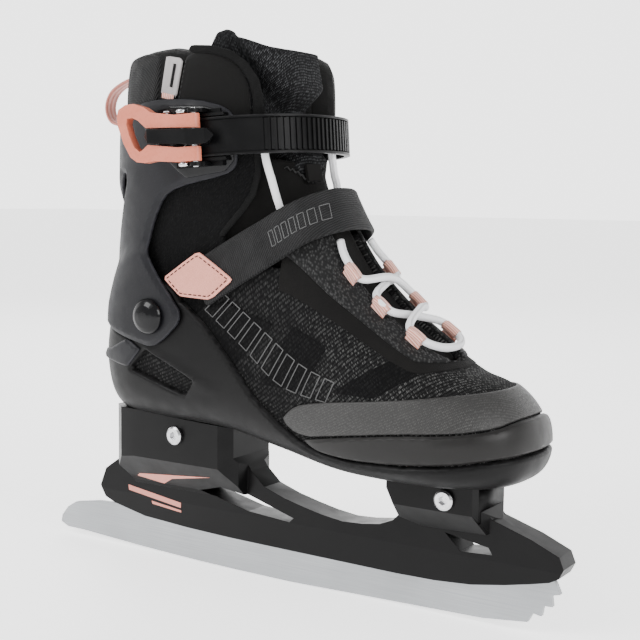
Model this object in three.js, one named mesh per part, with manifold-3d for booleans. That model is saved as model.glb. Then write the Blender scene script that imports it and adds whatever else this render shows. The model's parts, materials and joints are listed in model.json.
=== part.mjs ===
// Recreational ice skate for the right foot: a soft boot in a moulded shell, a hinged cuff with a
// ratchet buckle, an instep strap, and a bolted holder with a steel blade.
// Millimetres. +X points to the toe, +Y to the inner (medial) side, +Z up. The blade touches Z = 0.
import * as THREE from "three";
import { mergeVertices } from "three/addons/utils/BufferGeometryUtils.js";
import Module from "manifold-3d";

const wasm = await Module();
wasm.setup();

// ---------- driving dimensions ----------
const GAP = 0.4; // between pieces that touch
const TOLERANCE = 0.14; // how far a joined or cut face may be smoothed flat
const BLADE = { half: 1.6, rocker: 2600, flat: 8, slot: 1.9 };
const HOLDER = { web: 8 };
const HEEL_BOLT = { x: -56, z: 80, half: 24 };
const TOE_BOLT = { x: 114, z: 66.5, half: 19 };
const BOLT = { shank: 3, hole: 3.3, head: 5.3, headLong: 2.6, nut: 6, nutLong: 4.2 };
const PIVOT = { x: -57, z: 150 }; // cuff hinge, along Y
const SPLIT = { radius: 46, below: 25.2, above: 36, rear: 152 }; // where the soft boot divides to flex
const SHELL = { low: 0.4, high: 3.6 }; // skin offsets of the moulded shell
const CUFF = { low: 1.5, thick: 3, step: 3.3 }; // it steps out over the shell by the pivot
const STRAP = { x: -7, z: 180, tilt: 31, half: 12.5, low: 1.6, rise: 5.2, thick: 2.2, pin: [5, 41.6] };
const BAND = { x: -18, z: 246.5, tilt: 4, half: 10, thick: 2.4, rim: 0.9, tooth: 0.8, pitch: 3.4 };
const BAND_PIN = { x: -34, y: 53 }; // the ladder strap's hinge
const BUCKLE = { x: -16, y: -56.9, turn: 10, arm: 3.1, out: 12.3, ear: 14.8, rivet: -7.8 };
const LEVER_STUD = { top: -7, small: -15.8 }; // along the buckle's channel
const LACE = { radius: 2.1, sides: 8, loopIn: 2.9, loopOut: 3.8, height: 6 };

// ---------- small tools ----------
const radians = (degrees) => (degrees * Math.PI) / 180;
const smooth = (t) => {
  const c = Math.min(1, Math.max(0, t));
  return c * c * (3 - 2 * c);
};
const V = (x, y, z) => new THREE.Vector3(x, y, z);

// Uniform Catmull-Rom through a list of numbers.
function along(values, s) {
  const last = values.length - 1;
  const i = Math.min(last - 1, Math.max(0, Math.floor(s)));
  const t = s - i;
  const [a, b] = [values[i], values[i + 1]];
  const before = i > 0 ? values[i - 1] : 2 * a - b;
  const after = i + 2 <= last ? values[i + 2] : 2 * b - a;
  const m0 = (b - before) / 2;
  const m1 = (after - a) / 2;
  const [t2, t3] = [t * t, t * t * t];
  return (2 * t3 - 3 * t2 + 1) * a + (t3 - 2 * t2 + t) * m0 + (3 * t2 - 2 * t3) * b + (t3 - t2) * m1;
}

// A smooth curve through points in a plane, as a list of points.
function curve(points, count, closed = false) {
  const path = new THREE.CatmullRomCurve3(points.map(([x, y]) => V(x, y, 0)), closed, "centripetal");
  return path.getSpacedPoints(count).map((p) => [p.x, p.y]);
}

// Signed distance from a point to a closed outline, positive inside.
function depthIn(outline, x, y) {
  let inside = false;
  let best = Infinity;
  outline.forEach(([x1, y1], i) => {
    const [x0, y0] = outline[(i + outline.length - 1) % outline.length];
    const [dx, dy] = [x1 - x0, y1 - y0];
    const t = Math.min(1, Math.max(0, ((x - x0) * dx + (y - y0) * dy) / (dx * dx + dy * dy)));
    best = Math.min(best, Math.hypot(x - x0 - t * dx, y - y0 - t * dy));
    if (y0 > y !== y1 > y && x < x0 + ((y - y0) / dy) * dx) inside = !inside;
  });
  return inside ? best : -best;
}

function toSolid(geometry) {
  const bare = new THREE.BufferGeometry();
  bare.setAttribute("position", geometry.getAttribute("position"));
  if (geometry.index) bare.setIndex(geometry.index);
  const merged = mergeVertices(bare, 1e-4);
  const vertProperties = new Float32Array(merged.attributes.position.array);
  const triVerts = new Uint32Array(merged.index.array);
  return new wasm.Manifold(new wasm.Mesh({ numProp: 3, vertProperties, triVerts }));
}

function toGeometry(solid) {
  const mesh = solid.simplify(TOLERANCE).getMesh();
  const geometry = new THREE.BufferGeometry();
  geometry.setAttribute("position", new THREE.BufferAttribute(new Float32Array(mesh.vertProperties), 3));
  geometry.setIndex(new THREE.BufferAttribute(new Uint32Array(mesh.triVerts), 1));
  return geometry;
}

const join = (...parts) => toGeometry(parts.map(toSolid).reduce((a, b) => a.add(b)));
const cut = (part, ...tools) => toGeometry([part, ...tools].map(toSolid).reduce((a, b) => a.subtract(b)));
const common = (a, b) => toGeometry(toSolid(a).intersect(toSolid(b)));

// A flat outline wound counter-clockwise, with its holes.
function flatShape(outline, holes = []) {
  const points = outline.map(([x, y]) => new THREE.Vector2(x, y));
  const shape = new THREE.Shape(THREE.ShapeUtils.isClockWise(points) ? points.reverse() : points);
  shape.holes = holes.map((hole) => new THREE.Path(hole.map(([x, y]) => new THREE.Vector2(x, y))));
  return shape;
}

// A side-view outline in (x, z), pushed through from y0 to y1.
function sidePlate(outline, y0, y1, holes) {
  const shape = flatShape(outline, holes);
  const plate = new THREE.ExtrudeGeometry(shape, { depth: y1 - y0, bevelEnabled: false });
  return plate.rotateX(Math.PI / 2).translate(0, y1, 0);
}

// A plan-view outline in (x, y), standing from z0 to z1.
function planPlate(outline, z0, z1, holes) {
  const shape = flatShape(outline, holes);
  const plate = new THREE.ExtrudeGeometry(shape, { depth: z1 - z0, bevelEnabled: false });
  return plate.translate(0, 0, z0);
}

function block(x0, x1, y0, y1, z0, z1) {
  const box = new THREE.BoxGeometry(x1 - x0, y1 - y0, z1 - z0);
  return box.translate((x0 + x1) / 2, (y0 + y1) / 2, (z0 + z1) / 2);
}

// A turned piece round the Y axis, from [radius, y] points that start and end on the axis.
function turned(profile, sides = 24) {
  return new THREE.LatheGeometry(profile.map(([r, y]) => new THREE.Vector2(r, y)), sides);
}

// A round bar between two points along Y.
const barY = (radius, y0, y1, sides = 20) => turned([[0, y0], [radius, y0], [radius, y1], [0, y1]], sides);

function tube(points, radius, steps, sides = 8) {
  const path = new THREE.CatmullRomCurve3(points, false, "centripetal");
  const ring = new THREE.Shape();
  for (let i = 0; i < sides; i++) {
    const a = (2 * Math.PI * i) / sides;
    if (i) ring.lineTo(radius * Math.cos(a), radius * Math.sin(a));
    else ring.moveTo(radius, 0);
  }
  return new THREE.ExtrudeGeometry(ring, { steps, extrudePath: path, bevelEnabled: false });
}

// ---------- the boot's skin ----------
// Each station is one section of the boot, from its back or sole point to its top or front point.
// half: half-width. widest: where along the section it is widest. roundBack, roundFront: corner powers.
const STATIONS = [
  { front: [154, 95], back: [154, 95], half: 0, widest: 0.45, roundBack: 2.4, roundFront: 2.2 },
  { front: [151, 108], back: [151, 84], half: 19, widest: 0.45, roundBack: 2.6, roundFront: 2.2 },
  { front: [144, 118], back: [144, 79.5], half: 30, widest: 0.42, roundBack: 3, roundFront: 2.2 },
  { front: [132, 126], back: [132, 77.8], half: 38, widest: 0.4, roundBack: 3.6, roundFront: 2.2 },
  { front: [115, 131.5], back: [115, 77.5], half: 43.5, widest: 0.38, roundBack: 4, roundFront: 2.2 },
  { front: [92, 146.5], back: [88, 77.5], half: 46, widest: 0.34, roundBack: 4, roundFront: 2.2 },
  { front: [71, 162.5], back: [58, 78.5], half: 45, widest: 0.33, roundBack: 3.8, roundFront: 2.3 },
  { front: [54, 181], back: [22, 84], half: 42, widest: 0.34, roundBack: 3.6, roundFront: 2.3 },
  { front: [43, 198], back: [-20, 90.5], half: 39.5, widest: 0.36, roundBack: 3.6, roundFront: 2.4 },
  { front: [36, 211], back: [-70, 91.5], half: 38, widest: 0.4, roundBack: 3.4, roundFront: 2.5 },
  { front: [31, 221], back: [-101, 94], half: 38, widest: 0.42, roundBack: 2.7, roundFront: 2.6 },
  { front: [27.5, 230], back: [-111.5, 113], half: 38.5, widest: 0.44, roundBack: 2.4, roundFront: 2.6 },
  { front: [25, 239], back: [-110, 136], half: 39.5, widest: 0.46, roundBack: 2.3, roundFront: 2.7 },
  { front: [23, 249], back: [-102.5, 160], half: 41, widest: 0.48, roundBack: 2.3, roundFront: 2.8 },
  { front: [21, 261], back: [-99.5, 190], half: 43, widest: 0.5, roundBack: 2.3, roundFront: 2.8 },
  { front: [19, 275], back: [-99.5, 220], half: 44.5, widest: 0.5, roundBack: 2.2, roundFront: 2.8 },
  { front: [17, 290], back: [-98.5, 252], half: 45, widest: 0.5, roundBack: 2.15, roundFront: 2.8 },
  { front: [15, 308], back: [-95.5, 284], half: 45, widest: 0.5, roundBack: 2.15, roundFront: 2.8 },
  { front: [14, 326], back: [-84, 306], half: 45, widest: 0.5, roundBack: 2.15, roundFront: 2.8 },
];
const ROWS = 27;
const COLUMNS = 24;

const station = (s) => {
  const read = (pick) => along(STATIONS.map(pick), s);
  return {
    fx: read((k) => k.front[0]),
    fz: read((k) => k.front[1]),
    bx: read((k) => k.back[0]),
    bz: read((k) => k.back[1]),
    half: read((k) => k.half),
    widest: read((k) => k.widest),
    roundBack: read((k) => k.roundBack),
    roundFront: read((k) => k.roundFront),
  };
};

// angle 0 is the back or sole line, half a turn is the top or front line, positive on the medial side.
function skinPoint(k, angle) {
  const [c, s] = [Math.cos(angle), Math.sin(angle)];
  const power = 2 / (c > 0 ? k.roundBack : k.roundFront);
  const reach = Math.pow(Math.abs(c), power);
  const t = c > 0 ? k.widest * (1 - reach) : k.widest + (1 - k.widest) * reach;
  const y = Math.sign(s) * k.half * Math.pow(Math.abs(s), power);
  return V(k.bx + (k.fx - k.bx) * t, y, k.bz + (k.fz - k.bz) * t);
}

function makeSkin() {
  const points = [];
  for (let i = 0; i <= ROWS; i++) {
    const k = station((i / ROWS) * (STATIONS.length - 1));
    const row = [];
    for (let j = 0; j < COLUMNS; j++) row.push(skinPoint(k, (2 * Math.PI * j) / COLUMNS + 1e-9));
    points.push(row);
  }
  const at = (i, j) => points[Math.min(ROWS, Math.max(0, i))][(j + COLUMNS) % COLUMNS];
  const normals = points.map((row, i) =>
    row.map((p, j) => {
      if (i === 0) return V(1, 0, 0);
      const across = at(i, j + 1).clone().sub(at(i, j - 1));
      const up = at(i + 1, j).clone().sub(at(i - 1, j));
      return across.cross(up).normalize().negate();
    }),
  );
  const id = (i, j) => (i === 0 ? 0 : 1 + (i - 1) * COLUMNS + ((j + COLUMNS) % COLUMNS));
  const skin = { points: [], normals: [], triangles: [] };
  for (let i = 0; i <= ROWS; i++)
    for (let j = 0; j < COLUMNS; j++) {
      skin.points[id(i, j)] = points[i][j];
      skin.normals[id(i, j)] = normals[i][j];
    }
  for (let i = 0; i < ROWS; i++)
    for (let j = 0; j < COLUMNS; j++) {
      skin.triangles.push([id(i, j), id(i + 1, j), id(i + 1, j + 1)]);
      if (i) skin.triangles.push([id(i, j), id(i + 1, j + 1), id(i, j + 1)]);
    }
  return skin;
}
const SKIN = makeSkin();

// The part of the skin where inside(point, normal) is positive, thickened between two offsets.
const SNAP = 0.3; // a corner nearer the edge than this counts as inside, so no sliver is made
function panel(inside, low, high) {
  const depth = SKIN.points.map((p, i) => inside(p, SKIN.normals[i]));
  const value = depth.map((d) => (Math.abs(d) < SNAP ? SNAP : d));
  const spots = [];
  const known = new Map();
  const spot = (a, b) => {
    const key = a < b ? a + "_" + b : b + "_" + a;
    if (!known.has(key)) {
      const t = a === b ? 0 : value[a] / (value[a] - value[b]);
      const point = SKIN.points[a].clone().lerp(SKIN.points[b], t);
      const normal = SKIN.normals[a].clone().lerp(SKIN.normals[b], t).normalize();
      known.set(key, spots.push({ point, normal }) - 1);
    }
    return known.get(key);
  };
  const faces = [];
  for (const corners of SKIN.triangles) {
    const ring = [];
    corners.forEach((a, n) => {
      const b = corners[(n + 1) % 3];
      if (value[a] > 0) ring.push(spot(a, a));
      if (value[a] > 0 !== value[b] > 0) ring.push(value[a] > 0 ? spot(a, b) : spot(b, a));
    });
    for (let n = 2; n < ring.length; n++) faces.push([ring[0], ring[n - 1], ring[n]]);
  }
  const count = spots.length;
  const offset = (o, { point, normal }) => (typeof o === "function" ? o(point, normal) : o);
  const place = (o) => spots.map((s) => s.point.clone().addScaledVector(s.normal, offset(o, s)));
  const positions = [...place(high), ...place(low)].flatMap((p) => [p.x, p.y, p.z]);
  const edges = new Map();
  for (const f of faces)
    f.forEach((a, n) => {
      const b = f[(n + 1) % 3];
      if (edges.has(b + "_" + a)) edges.delete(b + "_" + a);
      else edges.set(a + "_" + b, [a, b]);
    });
  const index = faces.flatMap(([a, b, c]) => [a, b, c, a + count, c + count, b + count]);
  for (const [a, b] of edges.values()) index.push(b, a, a + count, b, a + count, b + count);
  const geometry = new THREE.BufferGeometry();
  geometry.setAttribute("position", new THREE.BufferAttribute(new Float32Array(positions), 3));
  geometry.setIndex(index);
  return geometry;
}

// ---------- frames and regions ----------
const move = (x, y, z) => new THREE.Matrix4().makeTranslation(x, y, z);
const turnY = (degrees) => new THREE.Matrix4().makeRotationY(radians(degrees));
const turnZ = (degrees) => new THREE.Matrix4().makeRotationZ(radians(degrees));
const placed = (geometry, frame) => geometry.clone().applyMatrix4(frame);
const BAND_FRAME = move(BAND.x, 0, BAND.z).multiply(turnY(-BAND.tilt)).multiply(move(-BAND.x, 0, 0));
const BUCKLE_FRAME = BAND_FRAME.clone().multiply(move(BUCKLE.x, BUCKLE.y, 0)).multiply(turnZ(BUCKLE.turn));
const STRAP_FRAME = move(STRAP.x, 0, STRAP.z).multiply(turnY(-STRAP.tilt));

// Along and across the instep strap, in side view.
function strapPlace(p) {
  const [dx, dz] = [p.x - STRAP.x, p.z - STRAP.z];
  const [c, s] = [Math.cos(radians(STRAP.tilt)), Math.sin(radians(STRAP.tilt))];
  return { along: dx * c + dz * s, across: dz * c - dx * s };
}

const arc = (cx, cy, r, from, to, count) =>
  Array.from({ length: count + 1 }, (_, i) => {
    const a = radians(from + ((to - from) * i) / count);
    return [cx + r * Math.cos(a), cy + r * Math.sin(a)];
  });

// Side-view outlines of the soft boot below and above its flex line.
function flexOutline(radius, angle, rear, floor) {
  const [c, s] = [Math.cos(radians(angle)), Math.sin(radians(angle))];
  const back = 180 - (180 / Math.PI) * Math.asin((rear - PIVOT.z) / radius);
  return [[PIVOT.x + 400 * c, PIVOT.z + 400 * s], ...arc(PIVOT.x, PIVOT.z, radius, angle, back, 10),
    [-300, rear],
    [-300, floor], [PIVOT.x + 400 * c, floor]];
}
const BELOW = flexOutline(SPLIT.radius, SPLIT.below, SPLIT.rear - GAP, 0);
const ABOVE = flexOutline(SPLIT.radius + 2 * GAP, SPLIT.above, SPLIT.rear + GAP, 500);
const ROUGH = 14; // a panel is made this much too big before it is cut to its outline
function dividedPanel(outline, inside, low, high) {
  const rough = panel((p, n) => Math.min(depthIn(outline, p.x, p.z) + ROUGH, inside(p, n)), low, high);
  return common(rough, sidePlate(outline, -80, 80));
}
const belowPanel = (inside, low, high) => dividedPanel(BELOW, inside, low, high);
const abovePanel = (inside, low, high) => dividedPanel(ABOVE, inside, low, high);

const mirrored = (half) => [...half, ...half.map(([x, y]) => [x, -y]).reverse()];

const SHELL_RIM = [[170, 95], [146, 92], [129, 89], [102, 86.5], [73, 85.5], [53, 87], [41, 92],
  [30, 98], [12, 111],
  [-6, 130], [-23, 147], [-37, 158]];
const SHELL_OUTLINE = [[-160, 40], [200, 40], ...SHELL_RIM, ...arc(PIVOT.x, PIVOT.z, 20, 26, 212, 7),
  [-77, 135.6],
  [-125, 147.8], [-160, 147.8]];
const HEEL_WINDOW = [[-65, 130.5], [-30, 116], [-37, 107], [-78, 118.6]];
const CUFF_OUTLINE = [[-62, 133], [-53, 134], [-38, 147], [-37, 153], [-43, 161], [-51, 171],
  [-57, 181], [-60, 190],
  [-55, 203], [-47, 216], [-38, 221], [-8, 228], [-3, 232], [-2, 238], [-2, 257], [-7, 263],
  [-22, 267], [-46, 268],
  [-64, 266], [-90, 257], [-140, 254], [-140, 152.5], [-125, 149]];
const CUFF_SLIT = [[-85, 229], [-76, 228.5], [-84, 209], [-93, 184], [-99, 184], [-98, 206]];
const BUMPER_OUTLINE = [[43.5, 92.6], [53, 88], [73, 86.5], [102, 87.5], [129, 90], [146, 93],
  [170, 96], [170, 110],
  [151, 110], [144, 106], [127, 103.5], [100, 101.5], [72, 97.5], [48, 93.5]];
const GUARD_OUTLINE = [[30, 101], [42.5, 94], [72, 98.3], [100, 102.3], [127, 104.3], [144, 106.8],
  [151, 110.8], [170, 110.8], [170, 126], [134, 122], [107, 119], [69, 115], [45, 111.5], [36, 107.5]];
const COLLAR_OUTLINE = [[5, 150], [5, 262], [-2, 278], [-14, 288], [-39, 296], [-65, 296], [-90, 294],
  [-125, 288],
  [-125, 140]];
const THROAT = mirrored([[0, 13], [98, 13], [106, 9], [109.5, 3]]);
const STAY_OUTER = mirrored([[0, 26], [94, 26], [108, 21], [117, 11], [119, 3]]);
const STAY_INNER = mirrored([[4, 13.8], [98, 13.8], [106.6, 9.6], [110.4, 3]]);

// ---------- soft boot ----------
const ALL = () => 999;
// The rivet nuts of the cuff hinges sit in shallow pockets in its skin.
function makeUpper() {
  const rise = (p) => (p.z < PIVOT.z ? 0 : 0.8 + 2 * smooth((PIVOT.x - p.x - 8) / 18));
  const tuck = (p) => rise(p) * smooth((60 - p.x) / 60);
  const body = belowPanel(ALL, (p) => -3 - tuck(p), (p) => -tuck(p));
  const pocket = barY(8.4, 35.8, 60).translate(PIVOT.x, 0, PIVOT.z);
  const other = barY(8.4, -60, -35.8).translate(PIVOT.x, 0, PIVOT.z);
  return cut(body, pocket, other, planPlate(THROAT, 112, 260));
}
const makeInsole = () => panel((p, n) => (-n.z - 0.86) * 40, -6.6, -3.4);
const makeTongueLower = () =>
  belowPanel((p) => Math.min(21 - Math.abs(p.y), 106 - p.x, p.x - 20, p.z - 118), -8, -3.4);
const makeStay = () =>
  common(belowPanel((p) => Math.min(p.z - 104, p.x - 10), 0.4, 1.8), planPlate(STAY_OUTER, 90, 240,
    [STAY_INNER]));
const toePanel = (low, high) => panel((p) => p.x - 16, low, high);
const makeGuard = () => common(toePanel(0.4, 1.5), sidePlate(GUARD_OUTLINE, -70, 70));
const makeBumper = () => common(toePanel(0.4, 3.3), sidePlate(BUMPER_OUTLINE, -70, 70));

const makeCollar = () =>
  common(
    abovePanel(ALL, -11, (p) => (p.x > PIVOT.x ? -2.6 * (1 - smooth((strapPlace(p).across - 16) / 10)) : 0)),
    sidePlate(COLLAR_OUTLINE, -70, 70),
  );
// The tongue runs inside the collar and comes forward between its front edges.
const TONGUE_TOP = [[60, 100], [60, 298], [10, 298], [-8, 301], [-20, 306], [-32, 306], [-36, 302],
  [-36, 150]];
function tongueSkin(p, n) {
  const edge = p.z < 262 ? 5 : 5 - 0.55 * (p.z - 262);
  const ramp = -14.2 + 13.2 * smooth((p.x - 11.6 * n.x - edge - 3.6) / 6);
  return Math.min(ramp, -4.5 + 3.5 * smooth((strapPlace(p).across - 24) / 16));
}
const makeTongueUpper = () =>
  common(
    abovePanel((p) => p.x + 60, (p, n) => tongueSkin(p, n) - 6, tongueSkin),
    sidePlate(TONGUE_TOP, -60, 60),
  );
function makeKeeper() {
  const plate = block(-1.1, 1.1, -4.6, 4.6, -4.5, 4.5);
  return placed(plate, move(25.4, -7.6, 229.4).multiply(turnZ(-18)).multiply(turnY(-14)));
}
const TAG_OUTLINE = [[-43, 290.6], [-32.3, 288.4], [-37.2, 269.4], [-47.6, 269.8]];
const makeTag = () => common(abovePanel((p) => p.z - 250, GAP, 1.6), sidePlate(TAG_OUTLINE, -70, 0));
function makePullLoop() {
  const outer = curve([[-96.6, 286], [-110, 284.8], [-124, 277.5], [-128, 268.5], [-124.5, 260],
    [-113, 256.6],
    [-99.8, 257.2]], 18);
  const inner = curve([[-101.6, 259.2], [-113, 258.4], [-123.2, 261], [-126.2, 268.5], [-122.8, 276.4],
    [-109.4, 283], [-98.6, 284.2]], 18);
  return sidePlate(outer, -4, 4, [inner]);
}

// ---------- shell and cuff ----------
const lug = { heel: [-75, -37, 19.6, 69, 89.6], toe: [97, 131, 14.6, 56, 76] };
const lugBlock = ([x0, x1, half, z0, z1], grow = 0) =>
  block(x0 - grow, x1 + grow, -half - grow, half + grow, z0 - grow, z1 + (grow ? 30 : 0));
const crossHole = (bolt, radius) => barY(radius, -40, 40, 16).translate(bolt.x, 0, bolt.z);
const pivotHole = (radius) => barY(radius, -70, 70, 20).translate(PIVOT.x, 0, PIVOT.z);

function makeShell() {
  const body = common(
    panel((p) => 178 - p.z, SHELL.low, SHELL.high),
    sidePlate(SHELL_OUTLINE, -70, 70, [HEEL_WINDOW]),
  );
  const whole = join(body, lugBlock(lug.heel), lugBlock(lug.toe));
  return cut(whole, crossHole(HEEL_BOLT, BOLT.hole), crossHole(TOE_BOLT, BOLT.hole), pivotHole(3.9));
}
function cuffLow(p) {
  const near = Math.hypot(p.x - PIVOT.x, p.z - PIVOT.z);
  return CUFF.low + CUFF.step * (1 - smooth((near - 33) / 12));
}
function rivetHoles(radius) {
  const hole = barY(radius, 2, 20, 12).translate(BUCKLE.rivet, 0, 0);
  return [placed(hole.clone().translate(0, 0, 6), BUCKLE_FRAME), placed(hole.translate(0, 0, -6),
    BUCKLE_FRAME)];
}
function makeCuff() {
  const body = common(
    panel((p) => Math.min(p.z - 122, 292 - p.z, 30 - p.x), cuffLow, (p) => cuffLow(p) + CUFF.thick),
    sidePlate(CUFF_OUTLINE, -70, 70, [CUFF_SLIT]),
  );
  const screw = placed(barY(2.3, 40, 70, 12), BAND_FRAME.clone().multiply(move(-42, 0, 0)));
  return cut(body, pivotHole(3.9), ...rivetHoles(2.3), screw);
}
// Dome, shoulder and shank of a cuff hinge stud; side is +1 on the inner side of the foot.
function makeStud(side) {
  const y = 46.6;
  const dome = turned([[0, 38.4], [3.5, 38.4], [3.5, y], [10, y], [9.7, y + 1.6], [8.2, y + 3.2],
    [5, y + 4.4],
    [0, y + 4.9]], 22);
  return dome.rotateZ(side > 0 ? 0 : Math.PI).translate(PIVOT.x, 0, PIVOT.z);
}
const makeStudNut = (side) =>
  barY(8, -0.8, 0.8, 20).translate(PIVOT.x, side * 36.9, PIVOT.z);

// ---------- holder, blade and bolts ----------
const frontPlate = (outline, x0, x1) => {
  const plate = new THREE.ExtrudeGeometry(flatShape(outline), { depth: x1 - x0, bevelEnabled: false });
  return plate.rotateX(Math.PI / 2).rotateZ(Math.PI / 2).translate(x0, 0, 0);
};
const WEB_OUTLINE = [[-119, 28], [-95, 23], [-62, 21], [-30, 20], [1, 19.6], [37, 19], [79, 19],
  [102, 19.4],
  [123, 21], [142, 24.4], [156, 27.6], [166, 30.2], [171, 33], [173.5, 38], [171, 44], [156, 50.4],
  [135, 57], [131, 62],
  [131, 72], [78, 72], [84, 60], [84, 54], [78, 48], [70, 44.6], [59, 43], [47, 42.4], [34, 44], [22, 46.4],
  [9, 49.4], [-5, 54], [-14, 62], [-20, 70], [-20, 80], [-108, 80], [-110, 69], [-109, 60], [-125, 49],
  [-129.5, 38],
  [-126, 31]];
const WEB_TAPER = [[-5.4, 15], [5.4, 15], [HOLDER.web, 36], [HOLDER.web, 99], [-HOLDER.web, 99],
  [-HOLDER.web, 36]];
const REAR_WINDOW = [[-50, 46], [-32, 51], [-16, 48], [15, 39], [12, 36.4], [-16, 38.4]];
const FRONT_WINDOW = [[109, 46.4], [133.5, 42.4], [135.4, 39], [118, 38]];
const HEEL_POST = {
  plan: mirrored([[-110, 1], [-108, 15], [-99, 22.6], [-88, 24], [-26, 24], [-18, 15], [-15, 1]]),
  side: [[-108, 92], [-110, 69], [-108, 58], [-100, 44], [-10, 44], [-5, 54], [-14, 62], [-20, 70],
    [-20, 92]],
  front: [[-8, 40], [8, 40], [9, 46], [24, 64], [24, 95], [-24, 95], [-24, 64], [-9, 46]],
};
const TOE_POST = {
  plan: mirrored([[70, 1], [80, 19], [129, 19], [137, 1]]),
  side: [[78, 80], [78, 72], [84, 60], [84, 52], [96, 48], [150, 50], [136, 57], [131, 62], [131, 80]],
  front: [[-8, 40], [8, 40], [9, 48], [19, 60], [19, 85], [-19, 85], [-19, 60], [-9, 48]],
};
const makePost = ({ plan, side, front }) =>
  common(common(planPlate(plan, 38, 95), sidePlate(side, -30, 30)), frontPlate(front, -140, 190));

const PINS = [-100, 20, 150];
const SLOT_OUTLINE = [[-119.4, 0], [175, 0], [170, 28], [163, 34.4], [-119.4, 34.4]];
function makeHolder() {
  const web = common(sidePlate(WEB_OUTLINE, -12, 12), frontPlate(WEB_TAPER, -140, 190));
  const whole = join(web, makePost(HEEL_POST), makePost(TOE_POST));
  const sole = panel((p, n) => Math.min(130 - p.z, -n.z * 60 + 20), -14, SHELL.high + GAP);
  return cut(
    whole,
    sole,
    sidePlate(REAR_WINDOW, -30, 30),
    sidePlate(FRONT_WINDOW, -30, 30),
    sidePlate(SLOT_OUTLINE, -BLADE.slot, BLADE.slot),
    lugBlock(lug.heel, GAP),
    lugBlock(lug.toe, GAP),
    crossHole(HEEL_BOLT, BOLT.hole),
    crossHole(TOE_BOLT, BOLT.hole),
    ...PINS.map((x) => barY(2.3, -5, 20, 12).translate(x, 0, 29)),
  );
}
function makeBlade() {
  const rocker = (x) => (Math.abs(x) <= BLADE.flat ? 0 : (x * x - BLADE.flat ** 2) / (2 * BLADE.rocker));
  const bottom = [-150, -130, -105, -80, -55, -30, -8, 8, 30, 55, 80, 105, 128].map((x) => [x, rocker(x)]);
  const teeth = 4;
  const picks = [[140, 4.6]];
  for (let i = 0; i < teeth; i++) {
    const a = radians(-64 + 15 * i);
    const b = radians(-54 + 15 * i);
    picks.push([138 + 33.5 * Math.cos(a), 33 + 30 * Math.sin(a)], [138 + 29.5 * Math.cos(b),
      33 + 27 * Math.sin(b)]);
  }
  const toe = [[166, 30], [162, 34], [-119, 34], [-119, 26.4], [-127, 25.6]];
  const tail = [[-138, 25], [-157, 21.6], [-164, 17.5], [-169, 11.5], [-170, 7], [-164, 4.4]];
  const plate = sidePlate([...bottom, ...picks, ...toe, ...tail], -BLADE.half, BLADE.half);
  return cut(plate, ...PINS.map((x) => barY(2.3, -5, 5, 12).translate(x, 0, 29)));
}
const makePin = (x) => barY(2, -4.6, 6.4, 12).translate(x, 0, 29);
function makeBolt({ x, z, half }) {
  const end = half + 3.4;
  const [face, top] = [half + 0.3, half + 0.3 + BOLT.headLong];
  const turnedBolt = turned([[0, -top], [BOLT.head * 0.8, -top], [BOLT.head, -top + 0.8],
    [BOLT.head, -face],
    [BOLT.shank, -face], [BOLT.shank, end], [0, end]], 24);
  const socket = new THREE.CylinderGeometry(2.3, 2.3, 4, 6).translate(0, -top, 0);
  return cut(turnedBolt, socket).translate(x, 0, z);
}
function makeNut({ x, z, half }) {
  const body = new THREE.CylinderGeometry(BOLT.nut, BOLT.nut, BOLT.nutLong, 6);
  const nut = body.translate(0, half + 0.3 + BOLT.nutLong / 2, 0);
  return cut(nut, barY(BOLT.hole, 0, half + 3.8, 16)).translate(x, 0, z);
}

// ---------- instep strap ----------
const strapLow = (p) => STRAP.low + STRAP.rise * smooth((strapPlace(p).along - 22) / 22);
const TAB_OUTLINE = [[-49, 171.8], [-26, 187], [-3.5, 172], [-17.5, 160.8], [-38, 162]];
function makeStrap() {
  const outline = [[-24, -60], [80, -60], [80, 60], [8.4, 60], [8.4, 0], [-24, 0]];
  const band = common(
    panel((p) => 26 - Math.abs(strapPlace(p).across), strapLow, (p) => strapLow(p) + STRAP.thick),
    placed(planPlate(outline, -STRAP.half, STRAP.half), STRAP_FRAME),
  );
  const [x, y] = STRAP.pin;
  const knuckle = new THREE.CylinderGeometry(3, 3, 2 * STRAP.half,
    16).rotateX(Math.PI / 2).translate(x, y, 0);
  const link = block(x, x + 7, y - 4.2, y - 0.6, -STRAP.half, STRAP.half);
  const bore = new THREE.CylinderGeometry(1.9, 1.9, 40, 12).rotateX(Math.PI / 2).translate(x, y, 0);
  return cut(join(band, placed(join(knuckle, link), STRAP_FRAME)), placed(bore, STRAP_FRAME));
}
const makeTab = () =>
  common(
    panel(
      (p) => 32 - Math.abs(strapPlace(p).across),
      (p) => strapLow(p) + STRAP.thick + GAP,
      (p) => strapLow(p) + STRAP.thick + GAP + 1.3,
    ),
    sidePlate(TAB_OUTLINE, -70, 0),
  );
function makeStrapPin() {
  const [x, y] = STRAP.pin;
  const long = 2 * (STRAP.half + 2.8);
  return placed(new THREE.CylinderGeometry(1.6, 1.6, long, 12).rotateX(Math.PI / 2).translate(x, y,
    0), STRAP_FRAME);
}
function makeStrapAnchor() {
  const plate = common(
    panel((p) => 32 - Math.abs(strapPlace(p).across), 1.2, 3.2),
    placed(block(-26, 1, 0, 60, -15.2, 15.2), STRAP_FRAME),
  );
  const [x, y] = STRAP.pin;
  const ear = block(x - 10, x + 3, y - 3.4, y + 3, STRAP.half + 0.5, STRAP.half + 2.7);
  const both = join(ear, ear.clone().translate(0, 0, -2 * STRAP.half - 3.2));
  const bore = new THREE.CylinderGeometry(1.9, 1.9, 40, 12).rotateX(Math.PI / 2).translate(x, y, 0);
  const rivet = placed(barY(2.3, 30, 60, 12).translate(-16, 0, 0), STRAP_FRAME);
  return cut(join(plate, placed(both, STRAP_FRAME)), placed(bore, STRAP_FRAME), rivet);
}
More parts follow.
